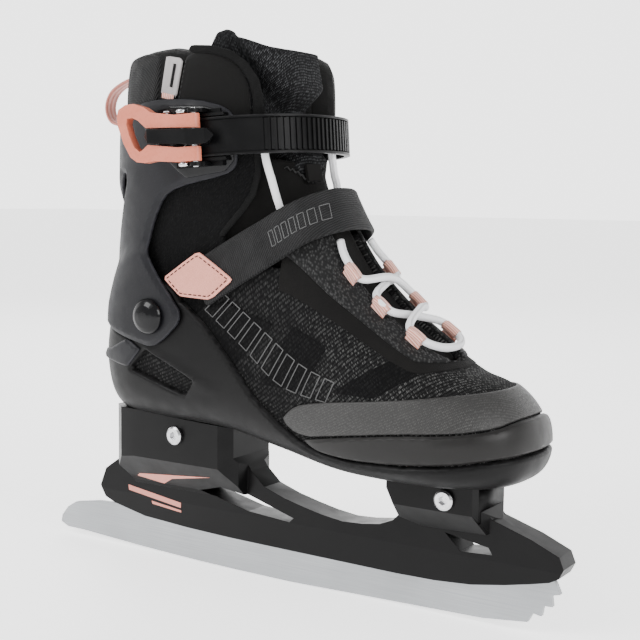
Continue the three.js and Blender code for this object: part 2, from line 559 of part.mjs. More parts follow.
const makeAnchorRivet = () =>
  placed(turned([[0, 38.4], [2, 38.4], [2, 41.8], [4.4, 41.8], [3.6, 43.2], [0, 43.8]],
    16).translate(-16, 0, 0),
    STRAP_FRAME);

// ---------- ladder strap and its hinge ----------
const BAND_PATH = [[-31.4, 52.4], [-20, 51], [-8, 48.8], [4, 45], [14, 38.8], [22, 30], [27.6, 18],
  [29.8, 6],
  [29.8, -6], [27.6, -18], [22, -30], [14, -38.8], [6, -44.6], [-2, -48.5], [-16.8, -51.1]];
function bandOutline(inner, outer, toothed) {
  const path = new THREE.CatmullRomCurve3(BAND_PATH.map(([x, y]) => V(x, y, 0)), false, "centripetal");
  const steps = Math.round((path.getLength() / BAND.pitch) * 2);
  const side = (grow, teeth) => {
    const points = [];
    for (let i = 0; i <= steps; i++) {
      const u = i / steps;
      const p = path.getPointAt(u);
      const t = path.getTangentAt(u);
      const place = (o, du) => {
        const q = du ? path.getPointAt(Math.min(1, Math.max(0, u + du))) : p;
        return [q.x + t.y * o, q.y - t.x * o];
      };
      const ribbed = teeth && u > 0.3 && u < 0.82;
      if (ribbed && i % 2 === 0) points.push(place(grow, -0.0016), place(grow + teeth, 0.0016));
      else if (ribbed) points.push(place(grow + teeth, -0.0016), place(grow, 0.0016));
      else if (i % 2 === 0) points.push(place(grow));
    }
    return points;
  };
  return [...side(-outer, toothed ? -BAND.tooth : 0), ...side(inner, 0).reverse()];
}
function makeBand() {
  const half = BAND.thick / 2;
  const web = planPlate(bandOutline(half, half, true), -BAND.half + 1.2, BAND.half - 1.2);
  const rim = planPlate(bandOutline(half, half + BAND.rim, false), -BAND.half, -BAND.half + 1.5);
  const other = rim.clone().translate(0, 0, 2 * BAND.half - 1.5);
  const { x, y } = BAND_PIN;
  const knuckle = new THREE.CylinderGeometry(3, 3, 2 * BAND.half,
    16).rotateX(Math.PI / 2).translate(x, y, 0);
  const bore = new THREE.CylinderGeometry(1.9, 1.9, 50, 12).rotateX(Math.PI / 2).translate(x, y, 0);
  return placed(cut(join(web, rim, other, knuckle), bore), BAND_FRAME);
}
function makeBandPin() {
  const { x, y } = BAND_PIN;
  const pin = new THREE.CylinderGeometry(1.6, 1.6, 2 * BAND.half + 5.6, 12).rotateX(Math.PI / 2);
  return placed(pin.translate(x, y, 0), BAND_FRAME);
}
const fatCuff = () => panel((p) => 60 - Math.abs(p.x + 25) + (p.z > 200 ? 0 : -200), -6,
  CUFF.low + CUFF.thick + GAP);
function makeBandAnchor() {
  const { x, y } = BAND_PIN;
  const plate = block(x - 16, x - 4, 44, y - 1, -13, 13);
  const ear = block(x - 14, x + 3, 44, y + 3, BAND.half + 0.5, BAND.half + 3);
  const both = join(plate, ear, ear.clone().translate(0, 0, -2 * BAND.half - 3.5));
  const bore = new THREE.CylinderGeometry(1.9, 1.9, 50, 12).rotateX(Math.PI / 2).translate(x, y, 0);
  const screw = barY(2.3, 40, 70, 12).translate(-42, 0, 0);
  return cut(placed(both, BAND_FRAME), placed(bore, BAND_FRAME), placed(screw, BAND_FRAME), fatCuff());
}
const makeAnchorScrew = () =>
  placed(turned([[0, 46], [2, 46], [2, 52.4], [4.4, 52.4], [4, 53.6], [0, 54.2]], 16).translate(-42, 0, 0),
    BAND_FRAME);

// ---------- ratchet buckle: x runs forward along its channel, -y outward, z across ----------
const lift = (geometry) => placed(geometry, BUCKLE_FRAME);
const axleBore = (radius, from, to) =>
  new THREE.CylinderGeometry(radius, radius, to - from, 12).rotateX(Math.PI / 2).translate(0,
    0, (from + to) / 2);
function makeBuckleBase() {
  const floor = block(-15.8, 11.6, 7.5, 14, -BUCKLE.ear, BUCKLE.ear);
  const wall = block(-12.8, 15.2, 4.1, 14, BAND.half + 0.7, BUCKLE.out);
  const cheek = block(-3.2, 5, 0, 14, BUCKLE.out + 0.5, BUCKLE.ear);
  const ear = join(cheek, axleBore(3.4, BUCKLE.out + 0.5, BUCKLE.ear));
  const both = (g, width) => [g, g.clone().translate(0, 0, -2 * g.boundingBox.min.z - width)];
  [wall, ear].forEach((g) => g.computeBoundingBox());
  const parts = [floor, ...both(wall, BUCKLE.out - BAND.half - 0.7), ...both(ear,
    BUCKLE.ear - BUCKLE.out - 0.5)];
  return cut(lift(join(...parts)), lift(axleBore(1.9, -20, 20)), ...rivetHoles(2.3), fatCuff());
}
function makeBaseRivet(z) {
  const rivet = turned([[0, 5.8], [3.2, 6], [4, 7.2], [2, 7.2], [2, 12.4], [0, 12.4]], 16);
  return lift(rivet.translate(BUCKLE.rivet, 0, z));
}
const LEVER_OUTER = [[3.1, 12.3], [-10, 12.2], [-23.8, 14.5], [-28.2, 17.7], [-34.2, 19.9], [-39.4, 19.8],
  [-43.9, 17.6], [-45.2, 13.8], [-44.7, 8.7], [-41.7, -0.5], [-37.9, -7.8], [-34.2, -10.6], [-29.7, -11.4],
  [-23.8, -10.8], [-10, -12.2], [3.1, -12.3]];
const LEVER_INNER = [[3.1, -4.6], [-9, -4.6], [-26.7, -2.1], [-30.1, -4.5], [-32, -5.4], [-35, -2.9],
  [-37.9, 3.7],
  [-39.4, 9.6], [-38.7, 12.4], [-35.7, 12.8], [-32, 10.9], [-27.5, 6.7], [3.1, 4.6]];
const LEVER_PLAN = [...arc(0, 0, BUCKLE.arm, -90, 90, 8), [-20, 3.1], [-40, 4.2], [-46.5, 1], [-45, -2.4],
  [-20, -3.1]];
function makeLever() {
  const shape = sidePlate([...LEVER_OUTER, ...LEVER_INNER], -9, 9);
  const body = common(shape, planPlate(LEVER_PLAN, -20, 20));
  const studs = new THREE.CylinderGeometry(1.9, 1.9, 7,
    12).rotateX(Math.PI / 2).translate(LEVER_STUD.top, 0, 10);
  const small = new THREE.CylinderGeometry(1.3, 1.3, 6,
    12).rotateX(Math.PI / 2).translate(LEVER_STUD.small, 0, 11);
  return lift(cut(body, axleBore(1.9, -20, 20), studs, studs.clone().translate(0, 0, -20), small));
}
function makeBar() {
  const side = sidePlate([[-29.5, 2.2], [-27, 5.6], [3.1, 4.1], [9, 3.9], [12.4, 0.3], [8.6, -3.8],
    [3.1, -4.1],
    [-26, -1.4]], -9, 9);
  const plan = planPlate([[-30, -1], [-26, -4.6], [-3, -5.4], [8, -4.6], [12.4, -2.6], [5, 1.8], [0, 2.9],
    [-20, 2.9], [-28, 1.4]], -9, 9);
  return lift(cut(common(side, plan), axleBore(1.9, -20, 20)));
}
const makeAxle = () => lift(axleBore(1.6, -BUCKLE.ear - 0.6, BUCKLE.ear + 0.6));
function makeLeverStud(side) {
  const stud = turned([[0, 7], [1.6, 7], [1.6, 12.7], [3, 12.7], [3, 14.2], [2.3, 15], [0, 15.2]], 20);
  return lift(stud.rotateX((side * Math.PI) / 2).translate(LEVER_STUD.top, 0, 0));
}
function makeLeverRivet() {
  const rivet = turned([[0, 8.6], [1, 8.6], [1, 13.8], [2.2, 13.8], [1.8, 14.8], [0, 15]], 16);
  return lift(rivet.rotateX(Math.PI / 2).translate(LEVER_STUD.small, 0, 0));
}

// ---------- lace and its loops ----------
const angleAt = (k, y) => Math.PI - Math.asin(Math.pow(Math.min(1, Math.abs(y) / k.half),
  k.roundFront / 2));
function onTop(s, y) {
  const at = (ds, dy) => {
    const k = station(s + ds);
    return skinPoint(k, (y + dy < 0 ? -1 : 1) * angleAt(k, y + dy));
  };
  const point = at(0, 0);
  const up = at(0.05, 0).sub(at(-0.05, 0)).normalize();
  const across = at(0, 0.5).sub(at(0, -0.5)).normalize();
  const normal = across.clone().cross(up).normalize();
  return { point, up, across, normal };
}
function above(s, y, height) {
  const { point, normal } = onTop(s, y);
  return point.clone().addScaledVector(normal, Math.sign(normal.x) * height);
}
const LOOP_ROWS = [4.95, 5.9, 6.85];
const LOOP_SIDE = 17.3;
function makeLoop(s, side) {
  const { point, up, normal } = onTop(s, side * LOOP_SIDE);
  const out = normal.clone().multiplyScalar(Math.sign(normal.x));
  const across = out.clone().cross(up).normalize();
  const ring = new THREE.Shape();
  ring.absarc(0, 0, LACE.loopOut, 0, 2 * Math.PI);
  ring.holes.push(new THREE.Path().absarc(0, 0, LACE.loopIn, 0, 2 * Math.PI));
  const sleeve = new THREE.ExtrudeGeometry(ring, { depth: 4, bevelEnabled: false, curveSegments: 6 });
  const outward = across.y * side > 0 ? 1 : -1;
  const tail = block(Math.min(outward, outward * 10), Math.max(outward, outward * 10), -LACE.loopOut,
    -LACE.loopIn, -1, 6);
  const frame = new THREE.Matrix4().makeBasis(across, out, across.clone().cross(out));
  frame.setPosition(point.clone().addScaledVector(out, LACE.height));
  return placed(join(sleeve, tail).translate(0, 0, -2), frame);
}
function makeLace() {
  const [low, mid, high] = LOOP_ROWS;
  const h = LACE.height;
  const side = LOOP_SIDE - 0.5;
  const run = [above(7.75, -13.5, 4.4), above(7.4, -15.6, 5), above(high + 0.2, -side, h),
    above(high - 0.2, -side, h),
    above((high + mid) / 2, 0, h + 2.4), above(mid + 0.2, side, h), above(mid - 0.2, side, h),
    above((mid + low) / 2, 0, h + 2.4), above(low + 0.2, -side, h), above(low - 0.2, -side, h),
    above(low - 0.42, -side + 6, h - 1), above(low - 0.5, 0, h - 1.6), above(low - 0.42, side - 6, h - 1),
    above(low - 0.2, side, h), above(low + 0.2, side, h), above((mid + low) / 2, 0, h - 2.5),
    above(mid - 0.2, -side, h), above(mid + 0.2, -side, h), above((high + mid) / 2, 0, h - 2.5),
    above(high - 0.2, side, h), above(high + 0.2, side, h), above(7.4, 15.6, 5), above(7.75, 13.5, 4.4)];
  return tube(run, LACE.radius, 64, LACE.sides);
}
// The lace's two ends rise beside the tongue and stop behind the ladder strap.
const LACE_RISE_OUTER = [V(15, -28.8, 220), V(13.7, -30, 226), V(12.1, -31.5, 233), V(10.8, -32.4, 240)];
const LACE_RISE_INNER = [V(28, 9.4, 228), V(26.9, 9.4, 234), V(26.1, 9.2, 240), V(25.7, 9, 244)];
const makeLaceEnd = (run) => tube(run, LACE.radius, 12, LACE.sides);

// ---------- assembly ----------
const FINISH = {
  steel: ["#b9bcbf", 0.3, 0.9],
  bright: ["#d6d8da", 0.25, 0.95],
  plastic: ["#15161a", 0.45, 0],
  cuffPlastic: ["#2a2b31", 0.6, 0],
  rubber: ["#1b1b1c", 0.6, 0],
  fabric: ["#17171a", 0.95, 0],
  padding: ["#101012", 0.9, 0],
  pink: ["#e79f8d", 0.5, 0],
  pinkCloth: ["#e6b0a8", 0.8, 0],
  white: ["#f2f2f2", 0.8, 0],
};
const skate = new THREE.Group();
skate.name = "ice_skate";
function add(name, finish, geometry) {
  const [color, roughness, metalness] = FINISH[finish];
  const mesh = new THREE.Mesh(geometry, new THREE.MeshStandardMaterial({ color, roughness, metalness }));
  mesh.name = name;
  skate.add(mesh);
}
add("blade", "steel", makeBlade());
PINS.forEach((x, i) => add(`blade_pin_${i + 1}`, "steel", makePin(x)));
add("blade_holder", "plastic", makeHolder());
add("heel_bolt", "bright", makeBolt(HEEL_BOLT));
add("heel_nut", "bright", makeNut(HEEL_BOLT));
add("toe_bolt", "bright", makeBolt(TOE_BOLT));
add("toe_nut", "bright", makeNut(TOE_BOLT));
add("boot_shell", "cuffPlastic", makeShell());
add("toe_bumper", "rubber", makeBumper());
add("toe_guard", "rubber", makeGuard());
add("boot_upper", "fabric", makeUpper());
add("insole", "padding", makeInsole());
add("tongue_lower", "padding", makeTongueLower());
add("lace_stay", "padding", makeStay());
add("boot_collar", "fabric", makeCollar());
add("tongue_upper", "fabric", makeTongueUpper());
add("lace_keeper", "fabric", makeKeeper());
add("collar_tag", "fabric", makeTag());
add("pull_loop", "pinkCloth", makePullLoop());
add("cuff", "cuffPlastic", makeCuff());
add("cuff_stud_outer", "plastic", makeStud(-1));
add("cuff_stud_inner", "plastic", makeStud(1));
add("cuff_nut_outer", "steel", makeStudNut(-1));
add("cuff_nut_inner", "steel", makeStudNut(1));
add("instep_strap", "fabric", makeStrap());
add("strap_tab", "pinkCloth", makeTab());
add("strap_anchor", "plastic", makeStrapAnchor());
add("strap_pin", "steel", makeStrapPin());
add("strap_rivet", "bright", makeAnchorRivet());
add("ladder_strap", "plastic", makeBand());
add("ladder_pin", "steel", makeBandPin());
add("ladder_anchor", "plastic", makeBandAnchor());
add("ladder_screw", "bright", makeAnchorScrew());
add("buckle_base", "plastic", makeBuckleBase());
add("buckle_rivet_top", "bright", makeBaseRivet(6));
add("buckle_rivet_bottom", "bright", makeBaseRivet(-6));
add("buckle_axle", "bright", makeAxle());
add("buckle_lever", "pink", makeLever());
add("lever_stud_top", "bright", makeLeverStud(1));
add("lever_stud_bottom", "bright", makeLeverStud(-1));
add("lever_rivet", "bright", makeLeverRivet());
add("release_bar", "plastic", makeBar());
LOOP_ROWS.forEach((s, i) => {
  add(`lace_loop_outer_${i + 1}`, "pinkCloth", makeLoop(s, -1));
  add(`lace_loop_inner_${i + 1}`, "pinkCloth", makeLoop(s, 1));
});
add("lace", "white", makeLace());
add("lace_end_outer", "white", makeLaceEnd(LACE_RISE_OUTER));
add("lace_end_inner", "white", makeLaceEnd(LACE_RISE_INNER));
export default skate;
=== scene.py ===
# Looks of the ice skate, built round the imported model. Shapes are worked out in millimetres in the
# model's own frame (+X to the toe, +Y to the inner side, +Z up) and written in metres.
import json
import math

import bmesh
import bpy
import numpy as np
from mathutils import Matrix, Vector


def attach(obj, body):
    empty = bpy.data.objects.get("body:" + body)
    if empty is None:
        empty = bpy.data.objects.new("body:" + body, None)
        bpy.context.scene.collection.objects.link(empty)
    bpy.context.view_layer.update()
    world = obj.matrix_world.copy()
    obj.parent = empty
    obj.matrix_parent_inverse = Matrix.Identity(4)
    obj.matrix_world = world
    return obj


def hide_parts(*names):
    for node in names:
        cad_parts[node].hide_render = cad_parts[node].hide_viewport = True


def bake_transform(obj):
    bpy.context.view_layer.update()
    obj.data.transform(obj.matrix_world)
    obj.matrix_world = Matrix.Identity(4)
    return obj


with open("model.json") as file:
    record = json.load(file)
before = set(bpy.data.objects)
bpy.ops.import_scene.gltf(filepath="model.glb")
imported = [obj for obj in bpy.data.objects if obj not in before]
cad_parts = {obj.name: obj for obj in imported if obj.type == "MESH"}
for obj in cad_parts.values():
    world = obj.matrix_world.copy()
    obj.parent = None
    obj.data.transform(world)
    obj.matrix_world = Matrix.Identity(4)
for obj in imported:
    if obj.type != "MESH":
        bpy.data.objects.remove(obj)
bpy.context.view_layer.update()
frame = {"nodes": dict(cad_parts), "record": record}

MM = 0.001
PIVOT = (-57.0, 150.0)  # the cuff's hinge in side view

# ---------- the boot's skin ----------
# One row per section, toe to collar top: front x, front z, back x, back z, half-width, where it is
# widest, and the corner powers of its back and front halves.
STATIONS = np.array([
    (154, 95, 154, 95, 0, 0.45, 2.4, 2.2),
    (151, 108, 151, 84, 19, 0.45, 2.6, 2.2),
    (144, 118, 144, 79.5, 30, 0.42, 3, 2.2),
    (132, 126, 132, 77.8, 38, 0.4, 3.6, 2.2),
    (115, 131.5, 115, 77.5, 43.5, 0.38, 4, 2.2),
    (92, 146.5, 88, 77.5, 46, 0.34, 4, 2.2),
    (71, 162.5, 58, 78.5, 45, 0.33, 3.8, 2.3),
    (54, 181, 22, 84, 42, 0.34, 3.6, 2.3),
    (43, 198, -20, 90.5, 39.5, 0.36, 3.6, 2.4),
    (36, 211, -70, 91.5, 38, 0.4, 3.4, 2.5),
    (31, 221, -101, 94, 38, 0.42, 2.7, 2.6),
    (27.5, 230, -111.5, 113, 38.5, 0.44, 2.4, 2.6),
    (25, 239, -110, 136, 39.5, 0.46, 2.3, 2.7),
    (23, 249, -102.5, 160, 41, 0.48, 2.3, 2.8),
    (21, 261, -99.5, 190, 43, 0.5, 2.3, 2.8),
    (19, 275, -99.5, 220, 44.5, 0.5, 2.2, 2.8),
    (17, 290, -98.5, 252, 45, 0.5, 2.15, 2.8),
    (15, 308, -95.5, 284, 45, 0.5, 2.15, 2.8),
    (14, 326, -84, 306, 45, 0.5, 2.15, 2.8),
])
ROWS = 18 * 9
COLUMNS = 136
LAST = len(STATIONS) - 1


def along(column, s):
    """Uniform Catmull-Rom through one column of the stations, at the places s."""
    values = STATIONS[:, column]
    i = np.clip(np.floor(s).astype(int), 0, LAST - 1)
    t = s - i
    a = values[i]
    b = values[i + 1]
    flat_start = column in (0, 2)  # the toe is round, so x starts level there
    before = np.where(i > 0, values[np.maximum(i - 1, 0)], b if flat_start else 2 * a - b)
    after = np.where(i + 2 <= LAST, values[np.minimum(i + 2, LAST)], 2 * b - a)
    m0 = (b - before) / 2
    m1 = (after - a) / 2
    t2 = t * t
    t3 = t2 * t
    return (2 * t3 - 3 * t2 + 1) * a + (t3 - 2 * t2 + t) * m0 + (3 * t2 - 2 * t3) * b + (t3 - t2) * m1


def skin_point(s, angle):
    """Points of the skin: angle 0 is the back or sole line, half a turn the front line, + is medial."""
    s = np.asarray(s, float)
    fx, fz, bx, bz, half, widest, round_back, round_front = (along(c, s) for c in range(8))
    c = np.cos(angle)
    sn = np.sin(angle)
    power = 2 / np.where(c > 0, round_back, round_front)
    reach = np.abs(c) ** power
    t = np.where(c > 0, widest * (1 - reach), widest + (1 - widest) * reach)
    y = np.sign(sn) * half * np.abs(sn) ** power
    return np.stack([bx + (fx - bx) * t, y + 0 * t, bz + (fz - bz) * t], -1)


def make_skin():
    """The skin as an even grid: points, normals, and the lengths along and round it."""
    dense = np.linspace(0, math.pi, 721)
    share = np.linspace(0, 1, COLUMNS // 2 + 1)
    points = np.zeros((ROWS + 1, COLUMNS, 3))
    girth = np.zeros((ROWS + 1, COLUMNS))
    for i in range(ROWS + 1):
        s = np.full(dense.shape, i * LAST / ROWS)
        ring = skin_point(s, dense)
        steps = np.linalg.norm(np.diff(ring, axis=0), axis=1)
        length = np.concatenate([[0], np.cumsum(steps)])
        if length[-1] < 1e-6:
            angles = share * math.pi
        else:
            angles = np.interp(share * length[-1], length, dense)
        half_ring = skin_point(np.full(angles.shape, i * LAST / ROWS), angles)
        back = half_ring[1:-1][::-1] * (1, -1, 1)
        points[i] = np.concatenate([half_ring, back])
        measured = length[-1] * (1 - share)
        girth[i] = np.concatenate([measured, measured[1:-1][::-1]])
    across = np.roll(points, -1, 1) - np.roll(points, 1, 1)
    up = np.gradient(points, axis=0)
    normals = -np.cross(across, up)
    normals[0] = (1, 0, 0)
    normals /= np.linalg.norm(normals, axis=2)[:, :, None]
    run = np.zeros((ROWS + 1, COLUMNS))
    run[1:] = np.cumsum(np.linalg.norm(np.diff(points, axis=0), axis=2), axis=0)
    return points, normals, run, girth


POINTS, NORMALS, RUN, GIRTH = make_skin()
P, N, U, V, D = slice(0, 3), slice(3, 6), 6, 7, 8  # columns of a row of skin data
SKIN = np.concatenate([POINTS, NORMALS, RUN[..., None], GIRTH[..., None], 0 * RUN[..., None]],
    2).reshape(-1, 9)


def skin_triangles():
    i, j = np.meshgrid(np.arange(ROWS), np.arange(COLUMNS), indexing="ij")
    a = (i * COLUMNS + j).ravel()
    b = ((i + 1) * COLUMNS + j).ravel()
    c = ((i + 1) * COLUMNS + (j + 1) % COLUMNS).ravel()
    d = (i * COLUMNS + (j + 1) % COLUMNS).ravel()
    second = np.stack([a, c, d], 1)[COLUMNS:]
    return np.concatenate([np.stack([a, b, c], 1), second])


SKIN_TRIANGLES = skin_triangles()


# ---------- plane outlines ----------
def depth_in(outline, x, y):
    """Signed distance to a closed outline, positive inside."""
    best = np.full(x.shape, 1e9)
    inside = np.zeros(x.shape, bool)
    x0, y0 = outline[-1]
    for x1, y1 in outline:
        dx, dy = x1 - x0, y1 - y0
        t = np.clip(((x - x0) * dx + (y - y0) * dy) / (dx * dx + dy * dy + 1e-12), 0, 1)
        best = np.minimum(best, np.hypot(x - x0 - t * dx, y - y0 - t * dy))
        crosses = (y0 > y) != (y1 > y)
        level = x0 + (y - y0) / (dy if dy else 1e-12) * dx
        inside ^= crosses & (x < level)
        x0, y0 = x1, y1
    return np.where(inside, best, -best)


def distance_to(path, x, y):
    """Distance to an open path."""
    best = np.full(x.shape, 1e9)
    for (x0, y0), (x1, y1) in zip(path, path[1:]):
        dx, dy = x1 - x0, y1 - y0
        t = np.clip(((x - x0) * dx + (y - y0) * dy) / (dx * dx + dy * dy + 1e-12), 0, 1)
        best = np.minimum(best, np.hypot(x - x0 - t * dx, y - y0 - t * dy))
    return best


def soften(outline, times=2):
    """Cuts the corners of a closed outline."""
    for _ in range(times):
        out = []
        for (x0, y0), (x1, y1) in zip(outline, outline[1:] + outline[:1]):
            out.append((0.78 * x0 + 0.22 * x1, 0.78 * y0 + 0.22 * y1))
            out.append((0.22 * x0 + 0.78 * x1, 0.22 * y0 + 0.78 * y1))
        outline = out
    return outline


def spline(points, count):
    """Even points along a centripetal Catmull-Rom through the given ones."""
    p = np.asarray(points, float)
    p = np.concatenate([[2 * p[0] - p[1]], p, [2 * p[-1] - p[-2]]])
    out = []
    for i in range(1, len(p) - 2):
        a, b, c, d = p[i - 1:i + 3]
        k = [0.0]
        for u, v in ((a, b), (b, c), (c, d)):
            k.append(k[-1] + max(1e-6, np.linalg.norm(v - u) ** 0.5))
        t = np.linspace(k[1], k[2], 24, endpoint=False)[:, None]
        ab = (k[1] - t) / (k[1] - k[0]) * a + (t - k[0]) / (k[1] - k[0]) * b
        bc = (k[2] - t) / (k[2] - k[1]) * b + (t - k[1]) / (k[2] - k[1]) * c
        cd = (k[3] - t) / (k[3] - k[2]) * c + (t - k[2]) / (k[3] - k[2]) * d
        abc = (k[2] - t) / (k[2] - k[0]) * ab + (t - k[0]) / (k[2] - k[0]) * bc
        bcd = (k[3] - t) / (k[3] - k[1]) * bc + (t - k[1]) / (k[3] - k[1]) * cd
        out.append((k[2] - t) / (k[2] - k[1]) * abc + (t - k[1]) / (k[2] - k[1]) * bcd)
    out = np.concatenate(out + [p[-2:-1]])
    length = run_lengths(out)
    even = np.linspace(0, length[-1], count)
    return np.stack([np.interp(even, length, out[:, i]) for i in range(p.shape[1])], 1)


def run_lengths(path):
    """How far along the path each of its points lies."""
    steps = np.linalg.norm(np.diff(path, axis=0), axis=1)
    return np.concatenate([[0], np.cumsum(steps)])


def side_faces(rings, sides):
    """The faces between neighbouring rings of points."""
    faces = []
    for i in range(rings - 1):
        for k in range(sides):
            a, b = i * sides + k, i * sides + (k + 1) % sides
            faces.append((a, b, b + sides, a + sides))
    return faces


def smooth(t):
    c = np.clip(t, 0, 1)
    return c * c * (3 - 2 * c)


def arc(cx, cy, r, start, end, count):
    angles = np.radians(np.linspace(start, end, count + 1))
    return [(cx + r * math.cos(a), cy + r * math.sin(a)) for a in angles]


def mirrored(half):
    return half + [(x, -y) for x, y in reversed(half)]


# ---------- frames ----------
def move(x, y, z):
    return np.array(Matrix.Translation((x, y, z)))


def turn(degrees, axis):
    return np.array(Matrix.Rotation(math.radians(degrees), 4, axis))


BAND_FRAME = move(-18, 0, 246.5) @ turn(-4, "Y") @ move(18, 0, 0)
BUCKLE_FRAME = BAND_FRAME @ move(-16, -56.9, 0) @ turn(10, "Z")
STRAP_X, STRAP_Z, STRAP_TILT = -7, 180, 31
STRAP_COS = math.cos(math.radians(STRAP_TILT))
STRAP_SIN = math.sin(math.radians(STRAP_TILT))
STRAP_FRAME = move(STRAP_X, 0, STRAP_Z) @ turn(-STRAP_TILT, "Y")


def placed(points, matrix):
    return points @ matrix[:3, :3].T + matrix[:3, 3]


def strap_place(p):
    """Along and across the instep strap, in side view."""
    dx = p[:, 0] - STRAP_X
    dz = p[:, 2] - STRAP_Z
    return dx * STRAP_COS + dz * STRAP_SIN, dz * STRAP_COS - dx * STRAP_SIN


def strap_spot(run, across):
    """The place in side view at a distance along and across the instep strap."""
    return (STRAP_X + run * STRAP_COS - across * STRAP_SIN,
        STRAP_Z + run * STRAP_SIN + across * STRAP_COS)


# ---------- meshes ----------
def mesh_piece(name, points, faces, material, body=None, grain=None, flat=False, stands_for=(),
    slot=None):
    """A named piece from points in millimetres, shaded by the area of its faces."""
    mesh = bpy.data.meshes.new(name)
    mesh.from_pydata((np.asarray(points) * MM).tolist(), [], [list(map(int, f)) for f in faces])
    mesh.polygons.foreach_set("use_smooth", [not flat] * len(mesh.polygons))
    if grain is not None:
        attribute = mesh.attributes.new("grain", "FLOAT_VECTOR", "POINT")
        attribute.data.foreach_set("vector", np.asarray(grain, np.float32).ravel())
    piece = bpy.data.objects.new(name, mesh)
    bpy.context.scene.collection.objects.link(piece)
    mesh.materials.append(material)
    mesh.update()
    if not flat:
        set_area_normals(mesh)
    if body:
        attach(piece, body)
    if stands_for:
        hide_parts(*stands_for)
    return piece


def set_area_normals(mesh):
    count = len(mesh.vertices)
    normals = np.zeros((count, 3))
    for polygon in mesh.polygons:
        normals[list(polygon.vertices)] += np.array(polygon.normal) * polygon.area
    length = np.linalg.norm(normals, axis=1)
    normals /= np.where(length > 0, length, 1)[:, None]
    mesh.normals_split_custom_set_from_vertices(normals.tolist())


def split(rows, triangles, level):
    """Cuts the triangles along the line where the depth is level, and keeps both sides."""
    depth = rows[:, D]
    depth[np.abs(depth - level) < 0.1] = level
    corner = depth[triangles]
    crossing = (corner.min(1) < level) & (corner.max(1) > level)
    fresh, spots, cut = [], {}, []
    count = len(rows)

    def spot(a, b):
        key = (a, b) if a < b else (b, a)
        if key not in spots:
            t = (level - depth[key[0]]) / (depth[key[1]] - depth[key[0]])
            row = rows[key[0]] + (rows[key[1]] - rows[key[0]]) * t
            row[D] = level
            fresh.append(row)
            spots[key] = count + len(fresh) - 1
        return spots[key]

    for triangle in triangles[crossing].tolist():
        for side in (1, -1):
            ring = []
            for n in range(3):
                a, b = triangle[n], triangle[(n + 1) % 3]
                da, db = side * (depth[a] - level), side * (depth[b] - level)
                if da >= 0:
                    ring.append(a)
                if da * db < 0:
                    ring.append(spot(a, b))
            cut += [(ring[0], ring[n - 1], ring[n]) for n in range(2, len(ring))]
    if fresh:
        rows = np.concatenate([rows, fresh])
        rows[:, N] /= np.linalg.norm(rows[:, N], axis=1)[:, None]
    if cut:
        triangles = np.concatenate([triangles[~crossing], cut])
    return rows, triangles


# share of the thickness at shares of the edge's width
ROUND = ((0, 0.3), (0.12, 0.62), (0.4, 0.86), (1, 1))
CHAMFER = ((0, 0.35), (0.1, 0.5), (1, 1))
PILLOW = ((0, 0.1), (0.06, 0.34), (0.2, 0.6), (0.45, 0.84), (1, 1))
SQUARE = ((0, 0.85), (1, 1))


def slab_shape(inside, low, high, edge=1.0, profile=ROUND):
    """The part of the skin where inside(rows) is positive, thickened between two offsets."""
    rows = SKIN.copy()
    rows[:, D] = inside(rows)
    triangles = SKIN_TRIANGLES[rows[SKIN_TRIANGLES, D].max(1) > 0]
    for share, _ in profile:
        rows, triangles = split(rows, triangles, share * edge)
    triangles = triangles[rows[triangles, D].min(1) >= -1e-9]
    used, triangles = np.unique(triangles, return_inverse=True)
    triangles = triangles.reshape(-1, 3)
    rows = rows[used]
    count = len(rows)
    bottom = low(rows) if callable(low) else np.full(count, float(low))
    top = high(rows) if callable(high) else np.full(count, float(high))
    widths = [edge * share for share, _ in profile]
    share = np.interp(rows[:, D], widths, [s for _, s in profile])
    outer = rows[:, P] + rows[:, N] * (bottom + (top - bottom) * share)[:, None]
    inner = rows[:, P] + rows[:, N] * bottom[:, None]
    keys = {}
    for a, b, c in triangles.tolist():
        for u, v in ((a, b), (b, c), (c, a)):
            if (v, u) in keys:
                del keys[(v, u)]
            else:
                keys[(u, v)] = True
    walls = [(b, a, a + count, b + count) for a, b in keys]
    faces = triangles.tolist() + (triangles[:, [0, 2, 1]] + count).tolist() + walls
    grain = rows[:, [U, V, D]]
    return np.concatenate([outer, inner]), faces, np.concatenate([grain, grain])


def slab(name, material, body, inside, low, high, edge=1.0, profile=ROUND, extra=(), **more):
    """A piece cut from the skin by slab_shape, with any extra shapes joined to it."""
    points, faces, grain = slab_shape(inside, low, high, edge, profile)
    for more_points, more_faces in extra:
        start = len(points)
        points = np.concatenate([points, more_points])
        grain = np.concatenate([grain, more_points])
        faces = faces + [[i + start for i in face] for face in more_faces]
    return mesh_piece(name, points, faces, material, body, grain, **more)


def side_outline(outline, holes=()):
    """inside() for an outline in side view, on both sides of the boot."""
    def inside(rows):
        depth = depth_in(outline, rows[:, 0], rows[:, 2])
        for hole in holes:
            depth = np.minimum(depth, -depth_in(hole, rows[:, 0], rows[:, 2]))
        return depth
    return inside


def box_shape(x0, x1, y0, y1, z0, z1):
    points = np.array([(x, y, z) for x in (x0, x1) for y in (y0, y1) for z in (z0, z1)], float)
    faces = [(0, 1, 3, 2), (4, 6, 7, 5), (0, 4, 5, 1), (2, 3, 7, 6), (0, 2, 6, 4), (1, 5, 7, 3)]
    return points, faces


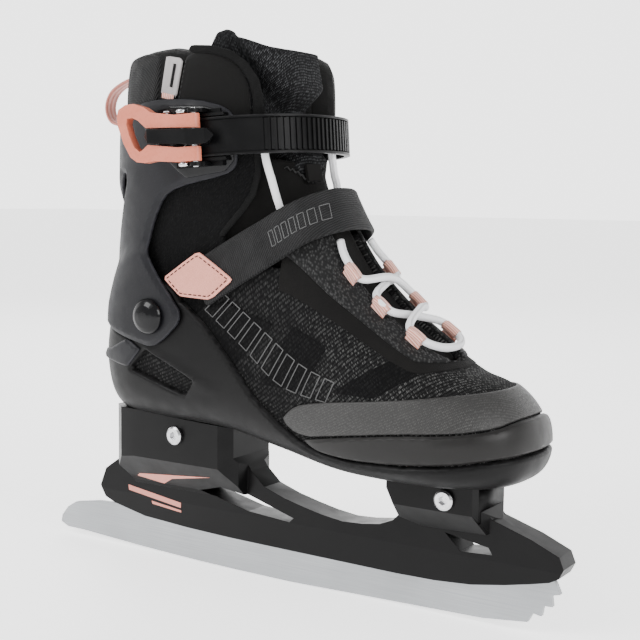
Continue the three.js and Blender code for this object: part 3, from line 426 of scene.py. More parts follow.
def tube_shape(path, radius, sides=14, flatten=1.0, up=None):
    """A round or flattened tube along a path, closed at both ends."""
    path = np.asarray(path, float)
    tangent = np.gradient(path, axis=0)
    tangent /= np.linalg.norm(tangent, axis=1)[:, None]
    normal = np.array(up if up is not None else (0.0, 0.0, 1.0), float)
    if abs(normal @ tangent[0]) > 0.95:
        normal = np.array((1.0, 0.0, 0.0))
    radius = np.broadcast_to(radius, len(path))
    length = run_lengths(path)
    points, grain = [], []
    for i, p in enumerate(path):
        normal = normal - tangent[i] * (normal @ tangent[i])
        normal /= np.linalg.norm(normal)
        side = np.cross(tangent[i], normal)
        for k in range(sides):
            a = 2 * math.pi * k / sides
            points.append(p + (normal * math.cos(a) * flatten + side * math.sin(a)) * radius[i])
            grain.append((length[i], a * radius[i], k))
    faces = side_faces(len(path), sides)
    faces.append(tuple(range(sides))[::-1])
    faces.append(tuple(range((len(path) - 1) * sides, len(path) * sides)))
    return np.array(points), faces, np.array(grain)


LATHE_SIDES = 48


def lathe_shape(profile):
    """A turned shape round Y, from (radius, y) points that start and end on the axis."""
    points = []
    for r, y in profile:
        for k in range(LATHE_SIDES):
            a = 2 * math.pi * k / LATHE_SIDES
            points.append((r * math.cos(a), y, r * math.sin(a)))
    return np.array(points), side_faces(len(profile), LATHE_SIDES)


CORNER_FLAT = 0.35


def bevelled(profile):
    """The profile with a short flat at each corner, so that smooth shading keeps its shape."""
    out = [profile[0]]
    for (ax, ay), (bx, by), (cx, cy) in zip(profile, profile[1:], profile[2:]):
        for ex, ey in ((ax, ay), (cx, cy)):
            reach = math.hypot(ex - bx, ey - by)
            t = min(0.45, CORNER_FLAT / max(reach, 1e-6))
            out.append((bx + (ex - bx) * t, by + (ey - by) * t))
    return out + [profile[-1]]


def turned_piece(name, profile, matrix, material, body, node, slot=None):
    points, faces = lathe_shape(bevelled(profile))
    bm = bmesh.new()
    spots = [bm.verts.new(p) for p in placed(points, matrix)]
    for face in faces:
        bm.faces.new([spots[i] for i in face])
    bmesh.ops.remove_doubles(bm, verts=bm.verts, dist=1e-4)
    bmesh.ops.recalc_face_normals(bm, faces=bm.faces)
    bm.verts.index_update()
    new_points = [tuple(v.co) for v in bm.verts]
    new_faces = [[v.index for v in f.verts] for f in bm.faces]
    bm.free()
    return mesh_piece(name, new_points, new_faces, material, body, new_points, stands_for=(node,),
        slot=slot)


def refined(node, material, body, bevel, segments=3, angle=28, limit=2.5):
    """A copy of a CAD node with clean faces and rounded edges."""
    bm = bmesh.new()
    bm.from_mesh(frame["nodes"][node].data)
    bmesh.ops.remove_doubles(bm, verts=bm.verts, dist=1e-6)
    bmesh.ops.dissolve_limit(bm, angle_limit=math.radians(limit), verts=bm.verts, edges=bm.edges)
    mesh = bpy.data.meshes.new("fine_" + node)
    bm.to_mesh(mesh)
    bm.free()
    spots = np.array([v.co for v in mesh.vertices]) / MM
    spots[:, 2] = 5
    mesh.attributes.new("grain", "FLOAT_VECTOR", "POINT").data.foreach_set("vector",
        spots.astype(np.float32).ravel())
    mesh.polygons.foreach_set("use_smooth", [True] * len(mesh.polygons))
    mesh.set_sharp_from_angle(angle=math.radians(angle))
    mesh.materials.clear()
    mesh.materials.append(material)
    piece = bpy.data.objects.new("fine_" + node, mesh)
    bpy.context.scene.collection.objects.link(piece)
    rounding = piece.modifiers.new("rounding", "BEVEL")
    rounding.width = bevel * MM
    rounding.segments = segments
    rounding.limit_method = "ANGLE"
    rounding.angle_limit = math.radians(angle)
    rounding.harden_normals = True
    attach(piece, body)
    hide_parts(node)
    return piece


# ---------- thin lines laid on the skin ----------
def skin_under(places, view="side"):
    """Points and normals of the skin at places in side view (x, z, outer side) or front view (y, z)."""
    axes = (0, 2) if view == "side" else (1, 2)
    corners = SKIN[SKIN_TRIANGLES]
    middle = corners.mean(1)
    facing = middle[:, 1] < 0 if view == "side" else middle[:, 3] > 0.2
    corners = corners[facing]
    flat = corners[:, :, axes]
    found = []
    for place in places:
        d = flat - place
        share = np.stack([d[:, (k + 1) % 3, 0] * d[:, (k + 2) % 3, 1] - d[:, (k + 1) % 3, 1] * d[:,
            (k + 2) % 3, 0] for k in range(3)], 1)
        total = share.sum(1)
        share /= np.where(abs(total) > 1e-9, total, 1e-9)[:, None]
        best = int(np.argmax(share.min(1)))
        weight = np.clip(share[best], 0, 1)
        found.append((corners[best] * (weight / weight.sum())[:, None]).sum(0))
    found = np.array(found)
    normals = found[:, N] / np.linalg.norm(found[:, N], axis=1)[:, None]
    return found[:, P], normals


def dashes(path, on, gap):
    """Cuts a path into equal short stitches."""
    steps = [math.dist(a, b) for a, b in zip(path, path[1:])]
    length = np.concatenate([[0], np.cumsum(steps)])
    path = np.asarray(path, float)
    starts = np.arange(0, length[-1] - on, on + gap)
    return [[tuple(np.interp(place, length, path[:, k]) for k in range(2)) for place in (start,
        start + on)] for start in starts]


def ribbon(name, material, body, paths, width, low, high, view="side", **more):
    """Flat raised lines along paths drawn on the skin."""
    points, faces, grain = [], [], []
    section = ((-0.5, 0), (-0.36, 1), (0.36, 1), (0.5, 0))
    for path in paths:
        steps = [math.dist(a, b) for a, b in zip(path, path[1:])]
        length = np.concatenate([[0], np.cumsum(steps)])
        even = np.unique(np.concatenate([length, np.arange(0, length[-1], 1.6)]))
        path = np.asarray(path, float)
        line = np.stack([np.interp(even, length, path[:, k]) for k in range(2)], 1)
        spots, normals = skin_under(line, view)
        tangent = np.gradient(spots, axis=0)
        across = np.cross(normals, tangent)
        across /= np.linalg.norm(across, axis=1)[:, None] + 1e-9
        bottom = low(spots) if callable(low) else np.full(len(spots), low)
        top = high(spots) if callable(high) else np.full(len(spots), high)
        start = len(points)
        for spot, normal, side, z0, z1, run in zip(spots, normals, across, bottom, top, even):
            for u, share in section:
                points.append(spot + side * u * width + normal * (z0 + (z1 - z0) * share))
                grain.append((run, u * width, 3))
        for i in range(len(spots) - 1):
            for k in range(4):
                a, b = start + 4 * i + k, start + 4 * i + (k + 1) % 4
                faces.append((a, b, b + 4, a + 4))
        end = start + 4 * (len(spots) - 1)
        faces.append((start + 3, start + 2, start + 1, start))
        faces.append((end, end + 1, end + 2, end + 3))
    return mesh_piece(name, points, faces, material, body, grain, **more)


# ---------- materials ----------
class Shader:
    """A node material round one Principled shader."""

    def __init__(self, name, color, **fixed):
        self.material = bpy.data.materials.new(name)
        self.material.use_nodes = True
        self.nodes = self.material.node_tree.nodes
        self.links = self.material.node_tree.links
        self.surface = self.nodes["Principled BSDF"]
        self.color = self.rgb(color)
        self.material.diffuse_color = (*color, 1)
        for socket, value in fixed.items():
            self.surface.inputs[socket.replace("_", " ")].default_value = value

    def rgb(self, color):
        node = self.nodes.new("ShaderNodeRGB")
        node.outputs[0].default_value = (*color, 1)
        return node.outputs[0]

    def feed(self, value, socket):
        if hasattr(value, "is_output"):
            self.links.new(value, socket)
        else:
            socket.default_value = value

    def math(self, kind, a, b=0.0, c=0.0):
        node = self.nodes.new("ShaderNodeMath")
        node.operation = kind
        for value, socket in zip((a, b, c), node.inputs):
            self.feed(value, socket)
        return node.outputs[0]

    def grain(self):
        """Millimetres along the piece, round it, and in from its edge."""
        node = self.nodes.new("ShaderNodeAttribute")
        node.attribute_name = "grain"
        return node.outputs["Vector"]

    def place(self, scale=1000.0, turn=(0, 0, 0)):
        """The place on the object, in millimetres."""
        spot = self.nodes.new("ShaderNodeTexCoord").outputs["Object"]
        return self.mapped(spot, (scale, scale, scale), turn)

    def mapped(self, vector, scale=(1, 1, 1), turn=(0, 0, 0)):
        node = self.nodes.new("ShaderNodeMapping")
        self.links.new(vector, node.inputs["Vector"])
        node.inputs["Scale"].default_value = scale
        node.inputs["Rotation"].default_value = [math.radians(a) for a in turn]
        return node.outputs[0]

    def part(self, vector, axis):
        node = self.nodes.new("ShaderNodeSeparateXYZ")
        self.links.new(vector, node.inputs[0])
        return node.outputs[axis]

    def noise(self, vector, scale, detail=2.0, rough=0.5):
        node = self.nodes.new("ShaderNodeTexNoise")
        self.links.new(vector, node.inputs["Vector"])
        node.inputs["Scale"].default_value = scale
        node.inputs["Detail"].default_value = detail
        node.inputs["Roughness"].default_value = rough
        return node.outputs["Fac"]

    def cells(self, vector, scale):
        node = self.nodes.new("ShaderNodeTexVoronoi")
        self.links.new(vector, node.inputs["Vector"])
        node.inputs["Scale"].default_value = scale
        return node.outputs["Distance"]

    def span(self, value, low, high, to_low=0.0, to_high=1.0):
        node = self.nodes.new("ShaderNodeMapRange")
        for item, socket in zip((value, low, high, to_low, to_high), node.inputs):
            self.feed(item, socket)
        return node.outputs[0]

    def mix(self, share, a, b):
        node = self.nodes.new("ShaderNodeMix")
        node.data_type = "RGBA"
        self.feed(share, node.inputs[0])
        for value, socket in ((a, node.inputs[6]), (b, node.inputs[7])):
            self.feed(value if hasattr(value, "is_output") else (*value, 1), socket)
        return node.outputs[2]

    def wave(self, value, pitch):
        """0 to 1 and back, once per pitch."""
        turned = self.math("MULTIPLY", value, 2 * math.pi / pitch)
        return self.math("MULTIPLY_ADD", self.math("SINE", turned), 0.5, 0.5)

    def bump(self, height, depth_mm, strength=1.0):
        node = self.nodes.new("ShaderNodeBump")
        node.inputs["Strength"].default_value = strength
        node.inputs["Distance"].default_value = depth_mm * MM
        self.links.new(height, node.inputs["Height"])
        before = self.surface.inputs["Normal"]
        if before.is_linked:
            self.links.new(before.links[0].from_socket, node.inputs["Normal"])
        self.links.new(node.outputs[0], before)

    def done(self, color=None, roughness=None):
        self.links.new(color or self.color, self.surface.inputs["Base Color"])
        if roughness is not None:
            self.links.new(roughness, self.surface.inputs["Roughness"])
        return self.material


def moulded(name, color, light, rough, speckle=0.5, grain_depth=0.05, rim_highlight=0.35, specular=0.2):
    """Moulded plastic: fine grain, faint speckle, and edges painted paler in patches, a painted
    highlight.
    """
    m = Shader(name, color, Specular_IOR_Level=specular)
    spot = m.place()
    fleck = m.span(m.noise(spot, 1.1, 3, 0.7), 0.52, 0.72)
    base = m.mix(m.math("MULTIPLY", fleck, speckle), m.color, light)
    cloud = m.noise(spot, 0.03, 3)
    base = m.mix(m.span(cloud, 0.35, 0.7, 0.0, 0.3), base, light)
    # painted highlight: within 0.9 mm of a piece's edge the colour is lifted towards a pale grey, in
    # noisy patches
    edge = m.span(m.part(m.grain(), 2), 0.0, 0.9, rim_highlight, 0.0)
    rim_highlight_patches = m.math("MULTIPLY", edge, m.span(m.noise(spot, 0.25, 4), 0.3, 0.6))
    base = m.mix(rim_highlight_patches, base, tuple(min(1, 2.2 * c + 0.02) for c in light))
    m.bump(m.noise(spot, 2.4, 2), grain_depth, 0.6)
    shine = m.span(m.noise(spot, 0.12, 4), 0.3, 0.7, rough - 0.06, rough + 0.07)
    return m.done(base, shine)


def knit(name, base, fleck, width=1.9, height=1.25, turn=34.0, amount=0.6, depth=0.22, specular=0.1,
    rough=0.83, rear=1.0):
    """Knitted mesh: a close grid of stitches, each of its own shade, duller to the rear."""
    m = Shader(name, base, Specular_IOR_Level=specular)
    grain = m.grain()
    grid = m.mapped(m.mapped(grain, turn=(0, 0, turn)), (1 / width, 1 / height, 0))
    stitch = m.nodes.new("ShaderNodeTexVoronoi")
    stitch.voronoi_dimensions = "2D"
    m.links.new(grid, stitch.inputs["Vector"])
    stitch.inputs["Scale"].default_value = 1.0
    stitch.inputs["Randomness"].default_value = 0.3
    shade = m.part(stitch.outputs["Color"], 0)
    dot = m.span(stitch.outputs["Distance"], 0.16, 0.46, 1.0, 0.0)
    pale = m.math("MULTIPLY", dot, m.span(shade, 1.0 - amount, 1.0, 0.12, 1.0))
    patch = m.span(m.noise(grain, 0.04, 3), 0.3, 0.65, 0.6, 1.0)
    patch = m.math("MULTIPLY", patch, m.span(m.part(m.place(), 0), 30, 85, rear, 1.0))
    color = m.mix(m.math("MULTIPLY", pale, patch), m.color, fleck)
    m.bump(dot, depth)
    return m.done(color, m.span(m.noise(grain, 0.6, 2), 0.3, 0.7, rough - 0.09, rough + 0.09))


def cloth(name, base, light, pitch=0.9, turn=0.0, depth=0.12, sheen=0.02, rough=0.85):
    """Plain close-woven or brushed cloth."""
    m = Shader(name, base, Sheen_Weight=sheen, Sheen_Roughness=0.45, Specular_IOR_Level=0.1)
    grain = m.mapped(m.grain(), turn=(0, 0, turn))
    warp = m.wave(m.part(grain, 0), pitch)
    weft = m.wave(m.part(grain, 1), pitch)
    weave = m.math("MULTIPLY", warp, weft)
    cloud = m.noise(grain, 0.07, 4)
    color = m.mix(m.span(cloud, 0.35, 0.7, 0.0, 0.5), m.color, light)
    # painted highlight: the raised crossings of the weave are painted paler
    color = m.mix(m.math("MULTIPLY", weave, 0.35), color, light)
    m.bump(weave, depth)
    return m.done(color, m.span(cloud, 0.3, 0.7, rough - 0.05, rough + 0.08))


def pebbled(name, base, light):
    """Stretch edging with a pebbled face."""
    m = Shader(name, base, Sheen_Weight=0.05, Sheen_Roughness=0.4, Specular_IOR_Level=0.25)
    grain = m.grain()
    pebble = m.cells(grain, 0.62)
    # painted highlight: the top of each pebble is painted paler
    color = m.mix(m.span(pebble, 0.0, 0.55, 0.9, 0.0), m.color, light)
    m.bump(m.span(pebble, 0.0, 0.7, 1.0, 0.0), 0.4)
    return m.done(color, m.span(pebble, 0.0, 0.6, 0.5, 0.8))


def ribbed(name, base, light, pitch, axis=0, depth=0.5, sheen=0.08):
    """Webbing or knit with ribs across one direction."""
    m = Shader(name, base, Sheen_Weight=sheen, Sheen_Roughness=0.45, Specular_IOR_Level=0.25)
    grain = m.mapped(m.grain())
    rib = m.wave(m.part(grain, axis), pitch)
    thread = m.wave(m.part(grain, 1 - axis), 0.8)
    height = m.math("MULTIPLY_ADD", thread, 0.3, rib)
    cloud = m.noise(grain, 0.09, 3)
    # painted highlight on the rib crests and painted shade in the furrows: the colour follows the rib
    # height
    color = m.mix(m.span(height, 0.35, 1.25), m.color, light)
    color = m.mix(m.span(cloud, 0.35, 0.7, 0.0, 0.4), color, base)
    m.bump(height, depth)
    return m.done(color, m.span(cloud, 0.3, 0.7, 0.67, 0.83))


def striped(name, pale, pink, pitch, axis=1, rough=0.7):
    """Narrow woven tape with raised stripes of two shades."""
    m = Shader(name, pale, Sheen_Weight=0.3, Sheen_Roughness=0.5)
    grain = m.grain()
    stripe = m.wave(m.part(grain, axis), pitch)
    thread = m.wave(m.part(grain, 1 - axis), 0.55)
    color = m.mix(m.span(stripe, 0.35, 0.65), pink, m.color)
    color = m.mix(m.math("MULTIPLY", thread, 0.25), color, pink)
    m.bump(m.math("MULTIPLY_ADD", thread, 0.25, stripe), 0.25)
    return m.done(color, m.span(m.noise(grain, 0.5, 3), 0.3, 0.7, rough - 0.05, rough + 0.1))


def leather(name, base, light, dark):
    """Fine-grained coated leather, paler along its edge."""
    m = Shader(name, base, Specular_IOR_Level=0.3)
    grain = m.grain()
    pore = m.cells(grain, 1.3)
    cloud = m.noise(grain, 0.12, 4)
    color = m.mix(m.span(cloud, 0.3, 0.7, 0.0, 0.6), m.color, light)
    color = m.mix(m.span(m.part(grain, 2), 0.2, 1.1, 0.7, 0.0), color,
        tuple(min(1, c * 1.25) for c in light))
    color = m.mix(m.span(pore, 0.5, 0.8, 0.0, 0.25), color, dark)
    m.bump(pore, 0.12)
    return m.done(color, m.span(cloud, 0.3, 0.7, 0.42, 0.55))


def polished_pink(name, base, light, dark):
    """Pigmented plastic with faint flow marks."""
    m = Shader(name, base, Specular_IOR_Level=0.35)
    spot = m.place(1000.0, (0, 20, 0))
    streak = m.noise(m.mapped(spot, (0.03, 0.15, 0.12)), 1.0, 5, 0.6)
    color = m.mix(m.span(streak, 0.3, 0.7), m.color, light)
    color = m.mix(m.span(m.noise(spot, 0.6, 3), 0.5, 0.8, 0.0, 0.35), color, dark)
    m.bump(m.noise(spot, 1.5, 2), 0.02)
    return m.done(color, m.span(streak, 0.2, 0.8, 0.3, 0.42))


def braided(name, base, shade):
    """Round braided lace: crossing strands in two directions."""
    m = Shader(name, base, Sheen_Weight=0.4, Sheen_Roughness=0.4)
    grain = m.grain()
    u = m.part(grain, 0)
    v = m.part(grain, 1)
    one = m.wave(m.math("ADD", u, v), 1.1)
    two = m.wave(m.math("SUBTRACT", u, v), 1.1)
    braid = m.math("MAXIMUM", one, two)
    # painted shade: the grooves between the strands are painted in the darker colour
    color = m.mix(m.span(braid, 0.3, 0.95, 0.6, 0.0), m.color, shade)
    m.bump(braid, 0.16)
    return m.done(color, m.span(m.noise(grain, 0.8, 2), 0.3, 0.7, 0.7, 0.85))


def steel(name, base, dark, rough, streak=(0.02, 0.6, 1.4), brushed=0.05):
    """Ground steel: streaks along the blade, small scratches and smears."""
    m = Shader(name, base, Metallic=1.0)
    spot = m.place()
    lines = m.noise(m.mapped(spot, streak), 1.0, 6, 0.7)
    smear = m.noise(spot, 0.02, 4)
    color = m.mix(m.span(lines, 0.3, 0.75), m.color, dark)
    color = m.mix(m.span(smear, 0.35, 0.7, 0.0, 0.4), color, dark)
    m.bump(lines, brushed, 0.5)
    return m.done(color, m.span(smear, 0.25, 0.75, rough - 0.05, rough + 0.1))


# ---------- finishes ----------
SHELL_PLASTIC = moulded("shell plastic", (0.0026, 0.0025, 0.0026), (0.006, 0.0058, 0.006), 0.46,
    specular=0.12)
CUFF_PLASTIC = moulded("cuff plastic", (0.0042, 0.0042, 0.0056), (0.0125, 0.0125, 0.016), 0.5, 0.6)
HOLDER_PLASTIC = moulded("holder plastic", (0.0024, 0.0023, 0.0024), (0.005, 0.0048, 0.005), 0.34, 0.3,
    0.015, specular=0.12)
BLACK_PLASTIC = moulded("black plastic", (0.002, 0.002, 0.0022), (0.005, 0.005, 0.0054), 0.36, 0.25,
    0.02, 0.5, 0.12)
GLOSS_BLACK = moulded("gloss black", (0.003, 0.003, 0.0035), (0.006, 0.006, 0.007), 0.14, 0.2, 0.008,
    0.2)
RUBBER = moulded("rubber", (0.009, 0.0085, 0.0082), (0.017, 0.0165, 0.016), 0.42, 0.25, 0.015, 0.25)
UPPER_KNIT = knit("upper knit", (0.003, 0.003, 0.0032), (0.125, 0.125, 0.122), 1.6, 0.95, 34, 0.7,
    rear=0.34)
DARK_KNIT = knit("dark knit", (0.0016, 0.0016, 0.0018), (0.012, 0.012, 0.012), 1.6, 0.95, 34, 0.6)
TONGUE_KNIT = knit("tongue knit", (0.0034, 0.0034, 0.0038), (0.078, 0.08, 0.083), 1.5, 1.0, 8, 0.8, 0.3)
SMOOTH_CLOTH = cloth("smooth cloth", (0.0045, 0.0043, 0.0042), (0.01, 0.0095, 0.009), 0.5)
FOAM_CLOTH = cloth("foam cloth", (0.0024, 0.0023, 0.0022), (0.0058, 0.0055, 0.0052), 0.35, 0, 0.04, 0.06,
    0.7)
BINDING = cloth("binding", (0.0032, 0.0032, 0.0032), (0.01, 0.01, 0.01), 0.7, 45, 0.15)
PEBBLED = pebbled("pebbled edging", (0.0026, 0.0026, 0.0028), (0.04, 0.04, 0.04))
EMBOSSED = knit("embossed film", (0.017, 0.0165, 0.016), (0.05, 0.049, 0.047), 1.0, 1.0, 45, 0.9, 0.06,
    0.35, 0.5)
HEEL_RIB = ribbed("heel rib", (0.0018, 0.0018, 0.002), (0.011, 0.011, 0.0115), 2.4, 0, 0.6, sheen=0.02)
WEBBING = ribbed("webbing", (0.0026, 0.0026, 0.0028), (0.015, 0.015, 0.0155), 1.25, 0, 0.25, sheen=0.02)
PINK_TAPE = striped("pink tape", (0.8, 0.52, 0.44), (0.55, 0.19, 0.13), 1.3)
PULL_TAPE = striped("pull tape", (0.7, 0.36, 0.31), (0.5, 0.18, 0.14), 3.2, 1, 0.75)
PINK_LEATHER = leather("pink leather", (0.6, 0.245, 0.19), (0.66, 0.285, 0.225), (0.42, 0.15, 0.11))
PINK_PLASTIC = polished_pink("pink plastic", (0.5, 0.14, 0.085), (0.56, 0.175, 0.11), (0.4, 0.09, 0.05))
PINK_PRINT = polished_pink("pink print", (0.56, 0.2, 0.15), (0.62, 0.24, 0.19), (0.44, 0.14, 0.1))
WHITE_LACE = braided("white lace", (0.84, 0.84, 0.85), (0.58, 0.59, 0.62))
THREAD_GREY = cloth("grey thread", (0.03, 0.03, 0.03), (0.06, 0.06, 0.06), 0.4)
THREAD = cloth("black thread", (0.006, 0.006, 0.006), (0.02, 0.02, 0.02), 0.4)
GREY_TAPE = cloth("grey tape", (0.36, 0.34, 0.34), (0.5, 0.48, 0.47), 0.5)
LIGHT_PRINT = cloth("light print", (0.075, 0.075, 0.075), (0.13, 0.13, 0.13), 0.5)
BLADE_STEEL = steel("blade steel", (0.38, 0.39, 0.4), (0.28, 0.29, 0.3), 0.36)
BRIGHT_STEEL = steel("bright steel", (0.72, 0.72, 0.73), (0.4, 0.4, 0.41), 0.2, (0.6, 0.6, 0.6), 0.02)

# ---------- outlines in side view ----------
SHELL_RIM = [(170, 95), (146, 92), (129, 89), (102, 86.5), (73, 85.5), (53, 87), (41, 92), (30, 98),
    (12, 111), (-6, 130), (-23, 147), (-37, 158)]
SHELL_OUTLINE = ([(-160, 40), (200, 40)] + SHELL_RIM + arc(*PIVOT, 20, 26, 212, 12) + [(-77, 135.6),
    (-125, 147.8), (-160, 147.8)])
HEEL_WINDOW = [(-65, 130.5), (-30, 116), (-37, 107), (-78, 118.6)]
HEEL_BLOCK = [(-101, 127.5), (-93, 129), (-77, 136), (-67, 130.5), (-78.5, 119.7), (-93, 121.5),
    (-101, 122)]
CUFF_OUTLINE = [(-62, 133), (-53, 134), (-38, 147), (-37, 153), (-43, 161), (-51, 171), (-57, 181),
    (-60, 190), (-55, 203), (-47, 216), (-38, 221), (-8, 228), (-3, 232), (-2, 238), (-2, 257),
    (-7, 263), (-22, 267), (-46, 268), (-64, 266), (-90, 257), (-140, 254), (-140, 152.5), (-125, 149)]
CUFF_SLIT = [(-85, 229), (-76, 228.5), (-84, 209), (-93, 184), (-99, 184), (-98, 206)]
BUMPER_OUTLINE = [(43.5, 92.6), (53, 88), (73, 86.5), (102, 87.5), (129, 90), (146, 93), (170, 96),
    (170, 110), (151, 110), (144, 106), (127, 103.5), (100, 101.5), (72, 97.5), (48, 93.5)]
GUARD_OUTLINE = [(30, 101), (42.5, 94), (72, 98.3), (100, 102.3), (127, 104.3), (144, 106.8),
    (151, 110.8), (170, 110.8), (170, 126), (134, 122), (107, 119), (69, 115), (45, 111.5), (36, 107.5)]
QUARTER_EDGE = [(9, 262), (7, 239), (6.5, 229), (3.5, 218), (-2.3, 209.5), (-7.8, 203.3), (-14, 196)]
COLLAR_OUTLINE = [(5, 245), (5, 262), (-2, 278), (-14, 288), (-39, 296), (-65, 296), (-90, 294),
    (-125, 288), (-125, 245)]
FAR_COLLAR = [(13, 245), (14.5, 262), (14, 282), (11, 290), (4, 296), (-6, 297.5), (-39, 296),
    (-65, 296), (-90, 294), (-125, 288), (-125, 245)]
FOAM_PANEL = [(4.6, 250), (4.2, 268), (2.4, 277), (-1.6, 284), (-8, 288.6), (-17, 291), (-27, 291.6),
    (-33, 289.5), (-39, 262), (-41, 250)]
HEEL_PANEL = [(-54, 250), (-47.5, 290.6), (-62, 293), (-90, 291), (-128, 285), (-128, 250)]
TAG = [(-43.6, 290.6), (-32.8, 288.8), (-37.4, 268.4), (-48, 268.8)]
TAB_OUTLINE = [(-49, 171.8), (-26, 187), (-3.5, 172), (-17.5, 160.8), (-38, 162)]

# ---------- outlines in plan view ----------
THROAT = mirrored([(0, 13), (98, 13), (106, 9), (109.5, 3)])
STAY_OUTER = mirrored([(0, 31), (46, 29.5), (70, 28), (95, 27), (101, 25), (108, 15), (111, 3)])
STAY_INNER = mirrored([(0, 13.8), (98, 13.8), (106.6, 9.6), (110.4, 3)])


# ---------- shell ----------
def lug(x0, x1, half, z0, z1):
    return box_shape(x0, x1, -half, half, z0, z1)


def make_shell():
    outline = side_outline(SHELL_OUTLINE, [HEEL_WINDOW])
    ridge = [(-65, 132.5), (-30, 117.5), (-16, 112)]

    def high(rows):
        near = distance_to(ridge, rows[:, 0], rows[:, 2])
        fade = smooth((rows[:, 0] + 72) / 8)
        return 3.6 + 0.7 * np.exp(-(near / 2.2) ** 2) * fade

    slab("shell", SHELL_PLASTIC, "boot", outline, 0.4, high, 1.6, ROUND,
        extra=[lug(-75, -37, 19.6, 69, 89.6), lug(97, 131, 14.6, 56, 76)], stands_for=("boot_shell",),
        slot="shell_plastic")
    slab("heel_wedge", CUFF_PLASTIC, "boot", side_outline(HEEL_BLOCK), 3.7, 5.8, 1.4, CHAMFER,
        slot="shell_plastic")


def make_toe():
    front = [(108, 60), (118, 104), (127, 104), (144, 107), (151, 111), (190, 111), (190, 60)]

    def lens(rows):
        bulge = smooth(depth_in(front, rows[:, 0], rows[:, 2]) / 5)
        side = smooth((rows[:, 0] - 44) / 12)
        return 1.9 + 0.8 * side + 0.9 * bulge

    slab("bumper", RUBBER, "boot", side_outline(soften(BUMPER_OUTLINE, 1)), 0.4, lens, 1.3, CHAMFER,
        stands_for=("toe_bumper",), slot="rubber")
    slab("guard", EMBOSSED, "boot", side_outline(soften(GUARD_OUTLINE, 1)), 0.4, 1.5, 1.2, ROUND,
        stands_for=("toe_guard",), slot="rubber")


def throat_depth(rows, outline):
    depth = depth_in(outline, rows[:, 0], rows[:, 1])
    return np.where(rows[:, 2] > 112, depth, -999)


def bends(piece):
    """Writes the piece's placement into its mesh points."""
    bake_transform(piece)
    return piece


def make_upper():
    quarter = [(-140, 266)] + QUARTER_EDGE + [(-9, 180), (60, 180), (60, 60), (-140, 60)]
    tuck_zone = [(-70, 150), (-44, 146), (-26, 156), (-10, 172), (-8, 196), (12, 228), (12, 262),
        (-70, 262)]

    def tuck(rows):
        back = np.where(rows[:, 2] < 150, 0.0, 0.8 + 2 * smooth((-65 - rows[:, 0]) / 18))
        return -back * smooth((60 - rows[:, 0]) / 60)

    def inside(rows):
        top = depth_in(quarter, rows[:, 0], rows[:, 2])
        top = np.where(rows[:, 0] < 40, top, np.minimum(rows[:, 0] - 15, 240 - rows[:, 2]))
        return np.minimum(top, -throat_depth(rows, THROAT))

    upper = slab("upper", UPPER_KNIT, None, inside, lambda r: tuck(r) - 3, tuck, 1.0,
        stands_for=("boot_upper",), slot="mesh_fabric")
    bends(upper)
    shade = slab("quarter_tuck", DARK_KNIT, None,
        lambda r: np.minimum(inside(r) - 0.3, depth_in(tuck_zone, r[:, 0], r[:, 2])),
        lambda r: tuck(r) + 0.03, lambda r: tuck(r) + 0.22, 0.4, ROUND, slot="mesh_fabric")
    bends(shade)
    edge = slab("quarter_binding", BINDING, None,
        lambda r: 1.5 - distance_to(QUARTER_EDGE, r[:, 0], r[:, 2]), -0.6, 0.75, 1.4, PILLOW,
        slot="mesh_fabric")
    bends(edge)


def make_gusset():
    """The plain cloth between the boot's front edges and the tongue."""
    zone = [(-30, 176), (-20, 236), (60, 236), (60, 150), (30, 165)]
    low = slab("gusset", SMOOTH_CLOTH, None, side_outline(zone), -7.4, -5.2, 1.5, slot="mesh_fabric")
    bends(low)
    lower = slab("tongue_low", SMOOTH_CLOTH, "boot",
        lambda r: np.minimum.reduce([21 - abs(r[:, 1]), 106 - r[:, 0], r[:, 0] - 20, r[:, 2] - 118,
        214 - r[:, 2] + 0 * r[:, 0]]), -8,
        lambda r: -3.4 + 0.9 * np.exp(-((abs(r[:, 1]) - 9) / 2.5) ** 2), 3, PILLOW,
        stands_for=("tongue_lower",), slot="mesh_fabric")
    return low, lower


def make_stay():
    smooth_band = mirrored([(0, 36), (46, 34.5), (70, 34), (95, 33), (104, 30), (112, 18), (115.5, 3)])

    def ring(outer, inner):
        def inside(rows):
            depth = np.minimum(throat_depth(rows, outer), -depth_in(inner, rows[:, 0], rows[:, 1]))
            return np.minimum(depth, np.minimum(205 - rows[:, 2] + 0.2 * rows[:, 0], rows[:, 0] - 22))
        return inside

    slab("smooth_band", SMOOTH_CLOTH, "boot", ring(soften(smooth_band, 1), STAY_INNER), 0.02, 0.4, 0.7,
        ROUND, slot="mesh_fabric")
    slab("stay", PEBBLED, "boot", ring(soften(STAY_OUTER, 1), STAY_INNER), 0.4, 1.9, 2.0, ROUND,
        stands_for=("lace_stay",), slot="mesh_fabric")


def outlined_bars(low_edge, top_edge, count, share):
    """A row of slanted outlined bars between two lines."""
    low = spline(low_edge, 200)
    top = spline(top_edge, 200)
    bars = []
    for i in range(count):
        a = int(199 * i / count)
        b = int(199 * (i + share) / count)
        bars.append([low[a], low[b], top[b], top[a], low[a]])
    return bars


def make_panels():
    """Tonal panels and a row of outlined slanted bars on the outer side, all plain shapes."""
    patches = {
        "panel_rear": [(-36, 150), (-12, 160), (22, 150), (-4, 126)],
        "panel_mid": [(16, 118), (34, 150), (56, 141), (44, 118)],
        "panel_front": [(62, 119), (92, 138), (104, 130), (86, 118)],
    }
    for name, outline in patches.items():
        slab(name, DARK_KNIT, "boot", side_outline(outline), 0.02, 0.22, 0.5, ROUND, slot="mesh_fabric")
    low_edge = [(-24, 155), (1, 138), (29, 119), (62, 113)]
    top_edge = [(-13, 165), (15, 147), (41, 131), (66, 123)]
    ribbon("side_marks", LIGHT_PRINT, "boot", outlined_bars(low_edge, top_edge, 10, 0.66), 0.55, 0.1,
        0.5, slot="mesh_fabric")


